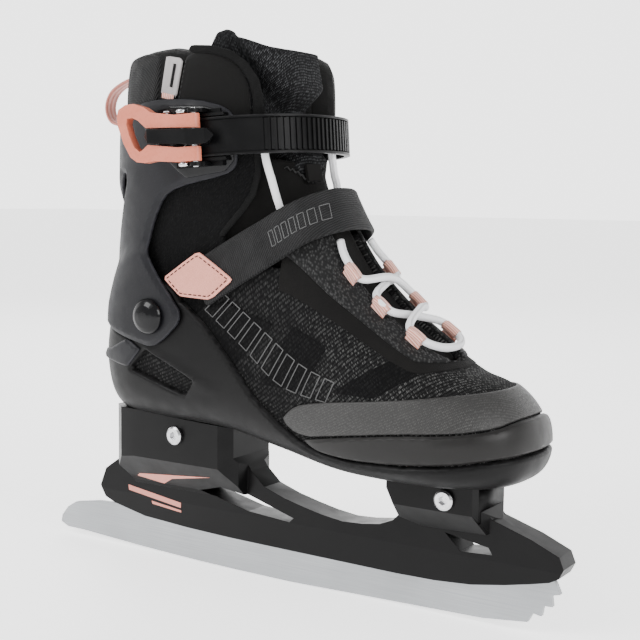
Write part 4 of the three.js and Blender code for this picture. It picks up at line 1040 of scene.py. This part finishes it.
def make_seam():
    """The zigzag seam where the tongue's knit meets its smooth lower part."""
    line = [(-23, 232.4), (-16, 229.7), (-11, 226.5), (-6, 226.6), (3, 230.2), (9, 232.4)]
    path = spline(line, 26)
    zigzag = [(y, z + (0.8 if i % 2 else -0.8)) for i, (y, z) in enumerate(path)]
    ribbon("tongue_seam", THREAD_GREY, "ankle_cuff", [zigzag], 0.5, -4.4, -3.2, "front",
        slot="mesh_fabric")


# ---------- collar and tongue ----------
def make_collar():
    near = soften(COLLAR_OUTLINE, 1)
    far = soften(FAR_COLLAR, 1)

    def inside(rows):
        x, y, z = rows[:, 0], rows[:, 1], rows[:, 2]
        return np.where(y < 0, depth_in(near, x, z), depth_in(far, x, z))

    def high(rows):
        x, y, z = rows[:, 0], rows[:, 1], rows[:, 2]
        return -0.1 + 4.8 * smooth((y - 8) / 14) * smooth((x + 30) / 30) * smooth((z - 254) / 8)

    collar = slab("collar", FOAM_CLOTH, "ankle_cuff", inside, -11, high, 7.0, PILLOW,
        stands_for=("boot_collar",), slot="mesh_fabric")
    foam = slab("foam_panel", FOAM_CLOTH, "ankle_cuff", side_outline(soften(FOAM_PANEL, 1)), -1.2, 1.6,
        6.0, PILLOW, slot="mesh_fabric")
    heel = slab("heel_panel", HEEL_RIB, "ankle_cuff", side_outline(HEEL_PANEL), -1.2, 0.9, 3.0, PILLOW,
        slot="mesh_fabric")
    rim = [(7.6, 250), (7.4, 268), (5.4, 277), (0.6, 285), (-6, 290), (-17, 293), (-28, 293.6)]
    slab("collar_binding", BINDING, "ankle_cuff", lambda r: 2.2 - distance_to(rim, r[:, 0], r[:, 2]),
        -1.0, 0.9, 2.0, PILLOW, slot="mesh_fabric")
    seam = [(-30.7, 287.8), (-35.4, 268), (-37.5, 256)]
    ribbon("collar_stitches", THREAD_GREY, "ankle_cuff", dashes(seam, 1.6, 1.1), 0.5, 0.7, 1.5,
        slot="mesh_fabric")


def make_tag():
    """A woven tag with a pink foot and one plain bar."""
    slab("tag", GREY_TAPE, "ankle_cuff", lambda r: np.where(r[:, 1] < 0, depth_in(TAG, r[:, 0], r[:, 2]),
        -9), 0.6, 1.9, 0.4, SQUARE, stands_for=("collar_tag",), slot="mesh_fabric")
    ribbon("tag_bar", THREAD, "ankle_cuff", [[(-37.4, 286), (-40.2, 274)]], 1.7, 1.7, 2.6,
        slot="mesh_fabric")
    ribbon("tag_foot", PINK_TAPE, "ankle_cuff", [[(-42.4, 270.6), (-43, 267.8)]], 9.6, 1.7, 2.1,
        slot="mesh_fabric")


def tongue_high(rows):
    x, z = rows[:, 0], rows[:, 2]
    edge = np.where(z < 262, 5, 5 - 0.55 * (z - 262))
    ramp = -14.2 + 13.2 * smooth((x - 11.6 * rows[:, 3] - edge - 3.6) / 6)
    across = strap_place(rows)[1]
    return np.minimum(ramp, -4.5 + 3.5 * smooth((across - 24) / 16))


def make_tongue():
    outer_top = ([-34, -27.8, -21.7, -15.8, -10.2, -3.8, 5, 11, 15],
        [290, 295.4, 304.3, 305.4, 303.9, 300.5, 298, 296, 295.4])
    inner_top = ([-36, -30, -21, -12, -3, 5, 11, 15], [299, 306, 310, 308.4, 303.6, 299.4, 296.6, 295.4])
    seam = ([-25, -21, -16, -11, -6, 3, 9, 20], [233, 231.6, 229.7, 226.5, 226.6, 230.2, 232.4, 236])

    def inside(rows):
        x, y, z = rows[:, 0], rows[:, 1], rows[:, 2]
        top = np.where(y < 0, np.interp(x, *outer_top), np.interp(x, *inner_top))
        side = 46 - 27 * smooth((z - 238) / 14) - 4.5 * smooth((z - 262) / 30) - y
        return np.minimum.reduce([top - z, x + 36, z - np.interp(y, *seam), side])

    def below(rows):
        x, y, z = rows[:, 0], rows[:, 1], rows[:, 2]
        return np.minimum.reduce([np.interp(y, *seam) + 3 - z, x + 0, z - 196, 27 - abs(y)])

    upper = slab("tongue", TONGUE_KNIT, None, inside, lambda r: tongue_high(r) - 6, tongue_high, 3.0,
        PILLOW, stands_for=("tongue_upper",), slot="mesh_fabric")
    lower = slab("tongue_mid", SMOOTH_CLOTH, None, below, lambda r: tongue_high(r) - 5,
        lambda r: tongue_high(r) - 0.8, 1.5, ROUND, slot="mesh_fabric")
    for piece in (upper, lower):
        bends(piece)


# ---------- cuff ----------
def make_cuff():
    def low(rows):
        near = np.hypot(rows[:, 0] - PIVOT[0], rows[:, 2] - PIVOT[1])
        return 1.5 + 3.3 * (1 - smooth((near - 33) / 12))

    outline = side_outline(soften(CUFF_OUTLINE, 1), [soften(CUFF_SLIT, 1)])
    slab("ankle_shell", CUFF_PLASTIC, "ankle_cuff", outline, low, lambda r: low(r) + 3, 3.0, CHAMFER,
        stands_for=("cuff",), slot="cuff_plastic")
    plate = [(-62, 258), (-53, 262), (-39, 264), (-17, 263.4), (-9, 261), (-5, 258), (-3.4, 252),
        (-3.4, 235), (-8, 230), (-30, 226), (-38, 232)]
    slab("buckle_plate", GLOSS_BLACK, "ankle_cuff",
        lambda r: np.where(r[:, 1] < 0, depth_in(plate, r[:, 0], r[:, 2]), -9), 4.4, 5.5, 1.2, ROUND,
        slot="holder_plastic")


def make_studs():
    dome = [(0, 38.4), (3.5, 38.4), (3.5, 46.6), (10, 46.6), (9.8, 48), (8.6, 49.6), (6.2, 50.8),
        (3, 51.4), (0, 51.5)]
    for name, side in (("outer", -1), ("inner", 1)):
        matrix = move(PIVOT[0], 0, PIVOT[1]) @ turn(0 if side > 0 else 180, "Z")
        turned_piece("stud_" + name, dome, matrix, GLOSS_BLACK, "ankle_cuff", "cuff_stud_" + name,
            "cuff_plastic")


# ---------- instep strap ----------
def strap_low(rows):
    return 1.6 + 5.2 * smooth((strap_place(rows)[0] - 22) / 22)


def make_strap():
    def inside(rows):
        run, across = strap_place(rows)
        end = np.where(rows[:, 1] < 0, run + 24, run - 8.4)
        return np.minimum(12.5 - abs(across), end)

    pin = (5, 41.6)
    rings = []
    points, faces, _ = tube_shape([(*pin, z) for z in np.linspace(-12.5, 12.5, 8)], 3.0, 20)
    rings.append((placed(points, STRAP_FRAME), faces))
    points, faces = box_shape(pin[0], pin[0] + 7, pin[1] - 4.2, pin[1] - 0.6, -12.4, 12.4)
    rings.append((placed(points, STRAP_FRAME), faces))
    slab("instep_webbing", WEBBING, "instep", inside, strap_low, lambda r: strap_low(r) + 2.2, 0.9,
        ROUND, extra=rings, stands_for=("instep_strap",), slot="webbing")

    def tab(rows):
        return np.where(rows[:, 1] < 0, depth_in(TAB_OUTLINE, rows[:, 0], rows[:, 2]), -9)

    slab("tab", PINK_LEATHER, "instep", tab, lambda r: strap_low(r) + 2.6, lambda r: strap_low(r) + 3.9,
        0.9, ROUND, stands_for=("strap_tab",), slot="pink_leather")
    stitches = [(-46, 171.7), (-26, 184.8), (-6.4, 172), (-18, 162.6), (-37.3, 163.6), (-46, 171.7)]
    ribbon("tab_stitches", THREAD, "instep", dashes(stitches, 2.0, 1.2), 0.6,
        lambda r: strap_low(r) + 3.7, lambda r: strap_low(r) + 4.15, slot="pink_leather")
    bars = []
    for i in range(7):
        run = 25.5 + 3.6 * i
        corners = [(run, -4.2), (run + 2.3, -4.2), (run + 3.3, 4.2), (run + 1, 4.2), (run, -4.2)]
        bars.append([strap_spot(*corner) for corner in corners])
    ribbon("strap_marks", LIGHT_PRINT, "instep", bars, 0.55, lambda r: strap_low(r) + 2.1,
        lambda r: strap_low(r) + 2.4, slot="webbing")


# ---------- ladder strap ----------
BAND_PATH = [(-31.4, 52.4), (-20, 51), (-8, 48.8), (4, 45), (14, 38.8), (22, 30), (27.6, 18), (29.8, 6),
    (29.8, -6), (27.6, -18), (22, -30), (14, -38.8), (6, -44.6), (-2, -48.5), (-16.8, -51.1)]


def make_ladder():
    """A flanged band whose front part carries square ribs across it."""
    path = spline(BAND_PATH, 400)
    length = run_lengths(path)
    total = length[-1]
    places = list(np.linspace(0, total, 140))
    pitch = 3.4
    ribs = np.arange(0.3 * total, 0.8 * total, pitch)
    for start in ribs:
        places += [start, start + 0.25, start + 1.7, start + 1.95]
    places = np.unique(np.round(places, 4))
    x = np.interp(places, length, path[:, 0])
    y = np.interp(places, length, path[:, 1])
    tx = np.gradient(x, places)
    ty = np.gradient(y, places)
    norm = np.hypot(tx, ty)
    tx, ty = tx / norm, ty / norm
    rows = []
    for place in places:
        phase = (place - ribs[0]) % pitch
        in_ribs = ribs[0] - 1e-6 <= place <= ribs[-1] + 1.95
        rise = 0.0
        if in_ribs and 0.24 < phase < 1.71:
            rise = 0.85
        flange = 0.9
        wide = 10.0
        ring = [(-wide, 0), (-wide, -1.2 - flange), (-wide + 1.3, -1.2 - flange), (-wide + 1.6, -1.2),
            (-wide + 1.9, -1.2 - rise), (wide - 1.9, -1.2 - rise), (wide - 1.6, -1.2),
            (wide - 1.3, -1.2 - flange), (wide, -1.2 - flange), (wide, 0), (wide, 1.2), (-wide, 1.2)]
        rows.append(ring)
    sides = len(rows[0])
    points, grain = [], []
    for i, ring in enumerate(rows):
        for z, out in ring:
            points.append((x[i] + ty[i] * out, y[i] - tx[i] * out, z))
            # the third value is the distance from the band's top and bottom edges, where the plastic
            # paints its rim highlight
            grain.append((places[i], z, min(abs(abs(z) - 10), 3)))
    faces = side_faces(len(rows), sides)
    faces.append(tuple(range(sides))[::-1])
    faces.append(tuple(range((len(rows) - 1) * sides, len(rows) * sides)))
    ring_points, ring_faces, _ = tube_shape([(-34, 53, z) for z in np.linspace(-10, 10, 8)], 3.0, 20)
    start = len(points)
    points = np.concatenate([np.array(points), ring_points])
    grain = np.concatenate([np.array(grain), ring_points])
    faces += [[i + start for i in face] for face in ring_faces]
    points = placed(points, BAND_FRAME)
    piece = mesh_piece("ladder", points, faces, BLACK_PLASTIC, None, grain, flat=True)
    bm = bmesh.new()
    bm.from_mesh(piece.data)
    bmesh.ops.recalc_face_normals(bm, faces=bm.faces)
    bm.to_mesh(piece.data)
    bm.free()
    piece.data.polygons.foreach_set("use_smooth", [True] * len(piece.data.polygons))
    piece.data.set_sharp_from_angle(angle=math.radians(30))
    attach(piece, "ladder")
    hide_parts("ladder_strap")


# ---------- lace ----------
def on_top(s, y):
    def spot(ds, dy):
        half = float(along(4, np.array(s + ds)))
        front = float(along(7, np.array(s + ds)))
        angle = math.pi - math.asin(min(1, abs(y + dy) / half) ** (front / 2))
        return skin_point(s + ds, math.copysign(angle, -1 if y + dy < 0 else 1))
    point = spot(0, 0)
    up = spot(0.05, 0) - spot(-0.05, 0)
    up /= np.linalg.norm(up)
    across = spot(0, 0.5) - spot(0, -0.5)
    across /= np.linalg.norm(across)
    normal = np.cross(across, up)
    normal /= np.linalg.norm(normal)
    return point, up, across, normal * math.copysign(1, normal[0])


def above(s, y, height):
    point, _, _, normal = on_top(s, y)
    return point + normal * height


LOOP_ROWS = (4.95, 5.9, 6.85)
LOOP_SIDE = 17.3


def make_lace():
    low, mid, high = LOOP_ROWS
    h = 6
    side = LOOP_SIDE - 0.5
    run = [above(7.75, -13.5, 4.4), above(7.4, -15.6, 5), above(high + 0.2, -side, h),
        above(high - 0.2, -side, h), above((high + mid) / 2, 0, h + 2.4), above(mid + 0.2, side, h),
        above(mid - 0.2, side, h), above((mid + low) / 2, 0, h + 2.4), above(low + 0.2, -side, h),
        above(low - 0.2, -side, h), above(low - 0.42, -side + 6, h - 1), above(low - 0.5, 0, h - 1.6),
        above(low - 0.42, side - 6, h - 1), above(low - 0.2, side, h), above(low + 0.2, side, h),
        above((mid + low) / 2, 0, h - 2.5), above(mid - 0.2, -side, h), above(mid + 0.2, -side, h),
        above((high + mid) / 2, 0, h - 2.5), above(high - 0.2, side, h), above(high + 0.2, side, h),
        above(7.4, 15.6, 5), above(7.75, 13.5, 4.4)]
    points, faces, grain = tube_shape(spline(run, 260), 2.1, 14)
    mesh_piece("lace_run", points, faces, WHITE_LACE, "boot", grain, stands_for=("lace",),
        slot="white_lace")
    risers = {
        "outer": [(17.8, -26.6, 209), (16.4, -27.6, 214), (15, -28.8, 220), (13.7, -30, 226),
                  (12.1, -31.5, 233),
                  (10.8, -32.4, 240), (9.6, -33.4, 247)],
        "inner": [(32, 6, 219), (30, 8.6, 223.5), (28, 9.4, 228), (26.9, 9.4, 234), (26.1, 9.2, 240),
                  (25.7, 9, 246)],
    }
    for name, run in risers.items():
        points, faces, grain = tube_shape(spline(run, 60), 2.1, 14)
        bends(mesh_piece("lace_riser_" + name, points, faces, WHITE_LACE, None, grain,
            stands_for=("lace_end_" + name,), slot="white_lace"))


def make_loops():
    for i, s in enumerate(LOOP_ROWS, 1):
        for name, side in (("outer", -1), ("inner", 1)):
            point, up, across, normal = on_top(s, side * LOOP_SIDE)
            path = [point + normal * (6 - 0.02 * t * t) + up * t for t in np.linspace(-5, 5, 12)]
            points, faces, grain = tube_shape(path, 2.9, 18, 0.9, up=normal)
            out = across * math.copysign(1, across[1] * side)
            tail = []
            for t, h in ((0.6, 8.6), (1.7, 8.1), (2.5, 6.5), (2.8, 4.2), (3, 0.9)):
                for u in (-4.6, 4.6):
                    tail.append(point + out * t + normal * h + up * u)
                    tail.append(point + out * (t - 0.8) + normal * (h - 0.8) + up * u)
            start = len(points)
            strip = []
            for k in range(4):
                a = start + 4 * k
                strip += [(a, a + 2, a + 6, a + 4), (a + 1, a + 5, a + 7, a + 3),
                    (a, a + 4, a + 5, a + 1), (a + 2, a + 3, a + 7, a + 6)]
            strip += [(start, start + 1, start + 3, start + 2)]
            end = start + 16
            strip += [(end, end + 2, end + 3, end + 1)]
            tail_grain = [(0, 0.6 * k, 0) for k in range(20)]
            mesh_piece(f"loop_{name}_{i}", np.concatenate([points, tail]), faces + strip, PINK_TAPE,
                "boot", np.concatenate([grain, tail_grain]), stands_for=(f"lace_loop_{name}_{i}",),
                slot="pink_webbing")


def make_pull_loop():
    middle = [(-96.4, 285.2), (-109.7, 283.9), (-123.4, 277), (-127.1, 268.5), (-123.8, 260.6),
        (-113, 257.5), (-99.4, 258.2)]
    path = spline(middle, 60)
    tangent = np.gradient(path, axis=0)
    tangent /= np.linalg.norm(tangent, axis=1)[:, None]
    length = run_lengths(path)
    points, grain, faces = [], [], []
    ring = [(-4.4, 0.0), (-4, 0.8), (-2, 0.95), (0, 0.85), (2, 0.95), (4, 0.8), (4.4, 0.0), (4, -0.8),
        (0, -0.9), (-4, -0.8)]
    for (x, z), (tx, tz), u in zip(path, tangent, length):
        for y, out in ring:
            points.append((x - tz * out, y, z + tx * out))
            grain.append((u, y, 3))
    sides = len(ring)
    for i in range(len(path) - 1):
        for k in range(sides):
            a, b = i * sides + k, i * sides + (k + 1) % sides
            faces.append((a, a + sides, b + sides, b))
    faces.append(tuple(range(sides)))
    faces.append(tuple(range((len(path) - 1) * sides, len(path) * sides))[::-1])
    mesh_piece("heel_pull", points, faces, PULL_TAPE, "ankle_cuff", grain, stands_for=("pull_loop",),
        slot="pink_webbing")


# ---------- hardware ----------
def make_hardware():
    refined("blade_holder", HOLDER_PLASTIC, "boot", 2.1, 4, 20, 1.0)
    refined("blade", BLADE_STEEL, "boot", 0.3, 2, 30)
    refined("buckle_lever", PINK_PLASTIC, "lever", 1.1, 4, 35, 1.0)
    refined("release_bar", BLACK_PLASTIC, "release", 0.35, 3, 20)
    refined("buckle_base", BLACK_PLASTIC, "ankle_cuff", 0.5, 3, 30)
    refined("strap_anchor", BLACK_PLASTIC, "boot", 0.4, 2, 30)
    refined("ladder_anchor", BLACK_PLASTIC, "ankle_cuff", 0.4, 2, 30)
    for node in ("heel_bolt", "heel_nut", "toe_bolt", "toe_nut"):
        refined(node, BRIGHT_STEEL, "boot", 0.25, 2, 30)
    lever_stud = [(0, 7), (1.6, 7), (1.6, 12.7), (3, 12.7), (3, 14.2), (2.3, 15), (0, 15.2)]
    for name, side in (("top", 90), ("bottom", -90)):
        turned_piece("fine_lever_stud_" + name, lever_stud,
            BUCKLE_FRAME @ move(-7, 0, 0) @ turn(side, "X"), BRIGHT_STEEL, "lever", "lever_stud_" + name,
            "bright_steel")
    small_rivet = [(0, 8.6), (1, 8.6), (1, 13.8), (2.2, 13.8), (1.8, 14.8), (0, 15)]
    turned_piece("fine_lever_rivet", small_rivet, BUCKLE_FRAME @ move(-15.8, 0, 0) @ turn(90, "X"),
        BRIGHT_STEEL, "lever", "lever_rivet", "bright_steel")
    base_rivet = [(0, 5.8), (3.2, 6), (4, 7.2), (2, 7.2), (2, 12.4), (0, 12.4)]
    for name, z in (("top", 6), ("bottom", -6)):
        turned_piece("fine_buckle_rivet_" + name, base_rivet, BUCKLE_FRAME @ move(-7.8, 0, z),
            BRIGHT_STEEL, "ankle_cuff", "buckle_rivet_" + name, "bright_steel")
    screw = [(0, 46), (2, 46), (2, 52.4), (4.4, 52.4), (4, 53.6), (0, 54.2)]
    turned_piece("fine_ladder_screw", screw, BAND_FRAME @ move(-42, 0, 0), BRIGHT_STEEL, "ankle_cuff",
        "ladder_screw", "bright_steel")
    rivet = [(0, 38.4), (2, 38.4), (2, 41.8), (4.4, 41.8), (3.6, 43.2), (0, 43.8)]
    turned_piece("fine_strap_rivet", rivet, STRAP_FRAME @ move(-16, 0, 0), BRIGHT_STEEL, "boot",
        "strap_rivet", "bright_steel")
    rod("strap_pin", 1.6, 15.3, STRAP_FRAME @ move(5, 41.6, 0) @ turn(90, "X"), "boot")
    rod("ladder_pin", 1.6, 12.8, BAND_FRAME @ move(-34, 53, 0) @ turn(90, "X"), "ankle_cuff")
    rod("buckle_axle", 1.6, 15.4, BUCKLE_FRAME @ turn(90, "X"), "ankle_cuff")
    plain = {
        "blade_steel": BLADE_STEEL, "bright_steel": BRIGHT_STEEL, "holder_plastic": HOLDER_PLASTIC,
        "mesh_fabric": SMOOTH_CLOTH,
    }
    for entry in frame["record"]["subparts"]:
        material = plain.get(entry["material_slot"])
        if material and entry["node"] in frame["nodes"]:
            mesh = frame["nodes"][entry["node"]].data
            mesh.materials.clear()
            mesh.materials.append(material)


def rod(node, radius, half, matrix, body):
    profile = [(0, -half), (radius, -half), (radius, half), (0, half)]
    turned_piece("fine_" + node, profile, matrix, BRIGHT_STEEL, body, node, "bright_steel")


def make_decal():
    """A pink flash on the heel post's outer slope and two plain bars on the web below it."""
    marks = {
        "flash": (1, [(-96, 49), (-93, 51), (-36, 57), (-68, 51), (-77, 46.2)]),
        "bar_long": (0, [(-106, 38), (-106.4, 41.2), (-65.4, 35.8), (-65.8, 32.6)]),
        "bar_short": (0, [(-87.8, 31.9), (-88.2, 33.7), (-65.8, 31.1), (-65.8, 29.7)]),
    }
    for name, (on_slope, outline) in marks.items():
        slope = [9 + (z - 46) * 15 / 18 if on_slope else min(8, 5.4 + (z - 15) * 2.6 / 21) for x,
            z in outline]
        face = np.array([(x, -y, z) for (x, z), y in zip(outline, slope)])
        down = np.array((0, -1, -15 / 18)) if on_slope else np.array((0, -1, 0))
        down = down / np.linalg.norm(down)
        count = len(outline)
        points = np.concatenate([face + down * 0.22, face - down * 0.2])
        faces = [tuple(range(count)), tuple(range(count, 2 * count))[::-1]]
        faces += [(k, k + count, (k + 1) % count + count, (k + 1) % count) for k in range(count)]
        mesh_piece("holder_" + name, points, faces, PINK_PRINT, "boot", points, flat=True,
            slot="pink_plastic")


# ---------- studio ----------
BACKDROP = (-0.545, 0.839)  # the way a bright paper backdrop lies from the skate


def paint_sky(world):
    """A dim room with a bright band round it, brightest at the backdrop."""
    nodes = world.node_tree.nodes
    links = world.node_tree.links

    def math_node(kind, a, b=0.0):
        node = nodes.new("ShaderNodeMath")
        node.operation = kind
        for value, socket in ((a, node.inputs[0]), (b, node.inputs[1])):
            if hasattr(value, "is_output"):
                links.new(value, socket)
            else:
                socket.default_value = value
        return node.outputs[0]

    def span(value, low, high, to_low, to_high):
        node = nodes.new("ShaderNodeMapRange")
        node.interpolation_type = "SMOOTHSTEP"
        links.new(value, node.inputs[0])
        for number, socket in zip((low, high, to_low, to_high), node.inputs[1:5]):
            socket.default_value = number
        return node.outputs[0]

    way = nodes.new("ShaderNodeSeparateXYZ")
    links.new(nodes.new("ShaderNodeTexCoord").outputs["Generated"], way.inputs[0])
    ahead = math_node("ADD", math_node("MULTIPLY", way.outputs[0], BACKDROP[0]),
        math_node("MULTIPLY", way.outputs[1], BACKDROP[1]))
    band = span(ahead, -0.2, 0.7, 0.9, 3.2)
    share = span(way.outputs[2], 0.25, 0.6, 0.0, 1.0)
    bright = math_node("ADD", math_node("MULTIPLY", band, math_node("SUBTRACT", 1.0, share)),
        math_node("MULTIPLY", share, 0.7))
    background = nodes["Background"]
    background.inputs[0].default_value = (1, 1, 1, 1)
    links.new(bright, background.inputs[1])


def make_studio():
    floor = bpy.data.meshes.new("floor")
    size = 12.0
    floor.from_pydata([(-size, -size, 0), (size, -size, 0), (size, size, 0), (-size, size, 0)], [],
        [(0, 1, 2, 3)])
    stage = bpy.data.objects.new("floor", floor)
    bpy.context.scene.collection.objects.link(stage)
    m = Shader("floor", (0.88, 0.88, 0.88))
    floor.materials.append(m.done(m.mix(m.span(m.noise(m.place(1.0), 1.0), 0, 1), m.color,
        (0.9, 0.9, 0.9))))
    m.surface.inputs["Roughness"].default_value = 0.6
    m.surface.inputs["Emission Color"].default_value = (1, 1, 1, 1)
    m.surface.inputs["Emission Strength"].default_value = 1.5
    world = bpy.data.worlds.new("studio")
    bpy.context.scene.world = world
    world.use_nodes = True
    paint_sky(world)
    sun = bpy.data.lights.new("sun", "SUN")
    sun.energy = 0.9
    sun.angle = math.radians(50)
    sunlight = bpy.data.objects.new("sun", sun)
    sunlight.rotation_euler = (math.radians(35), math.radians(-20), 0)
    bpy.context.scene.collection.objects.link(sunlight)
    lights = {
        "key": ((-0.7, -1.2, 1.1), 0.7, 16),
        "side": ((1.3, -0.3, 0.8), 0.7, 16),
        "rim": ((-0.9, 1.0, 1.0), 0.8, 8),
    }
    target = Vector((0, 0, 0.14))
    for name, (spot, width, power) in lights.items():
        data = bpy.data.lights.new(name, "AREA")
        data.size = width
        data.energy = power
        lamp = bpy.data.objects.new(name, data)
        lamp.location = spot
        lamp.rotation_euler = (target - Vector(spot)).to_track_quat("-Z", "Y").to_euler()
        bpy.context.scene.collection.objects.link(lamp)


def make_camera():
    """The photograph's view: a little above the boot, from ahead of its outer side."""
    azimuth, pitch, roll = (math.radians(a) for a in (33.0, 5.8, 0.7))
    forward = Vector((-math.sin(azimuth) * math.cos(pitch), math.cos(azimuth) * math.cos(pitch),
        -math.sin(pitch)))
    right = Vector((math.cos(azimuth), math.sin(azimuth), 0))
    up = right.cross(forward)
    level = right.copy()
    right = level * math.cos(roll) + up * math.sin(roll)
    up = up * math.cos(roll) - level * math.sin(roll)
    data = bpy.data.cameras.new("camera")
    data.lens = 68.5
    data.sensor_width = 36
    camera = bpy.data.objects.new("camera", data)
    camera.matrix_world = Matrix((
        (right.x, up.x, -forward.x, 0.3863),
        (right.y, up.y, -forward.y, -0.5552),
        (right.z, up.z, -forward.z, 0.217),
        (0, 0, 0, 1),
    ))
    bpy.context.scene.collection.objects.link(camera)
    bpy.context.scene.camera = camera


make_camera()
make_studio()
make_shell()
make_toe()
make_upper()
make_gusset()
make_stay()
make_panels()
make_collar()
make_tag()
make_tongue()
make_seam()
make_cuff()
make_studs()
make_strap()
make_ladder()
make_lace()
make_loops()
make_pull_loop()
make_hardware()
make_decal()
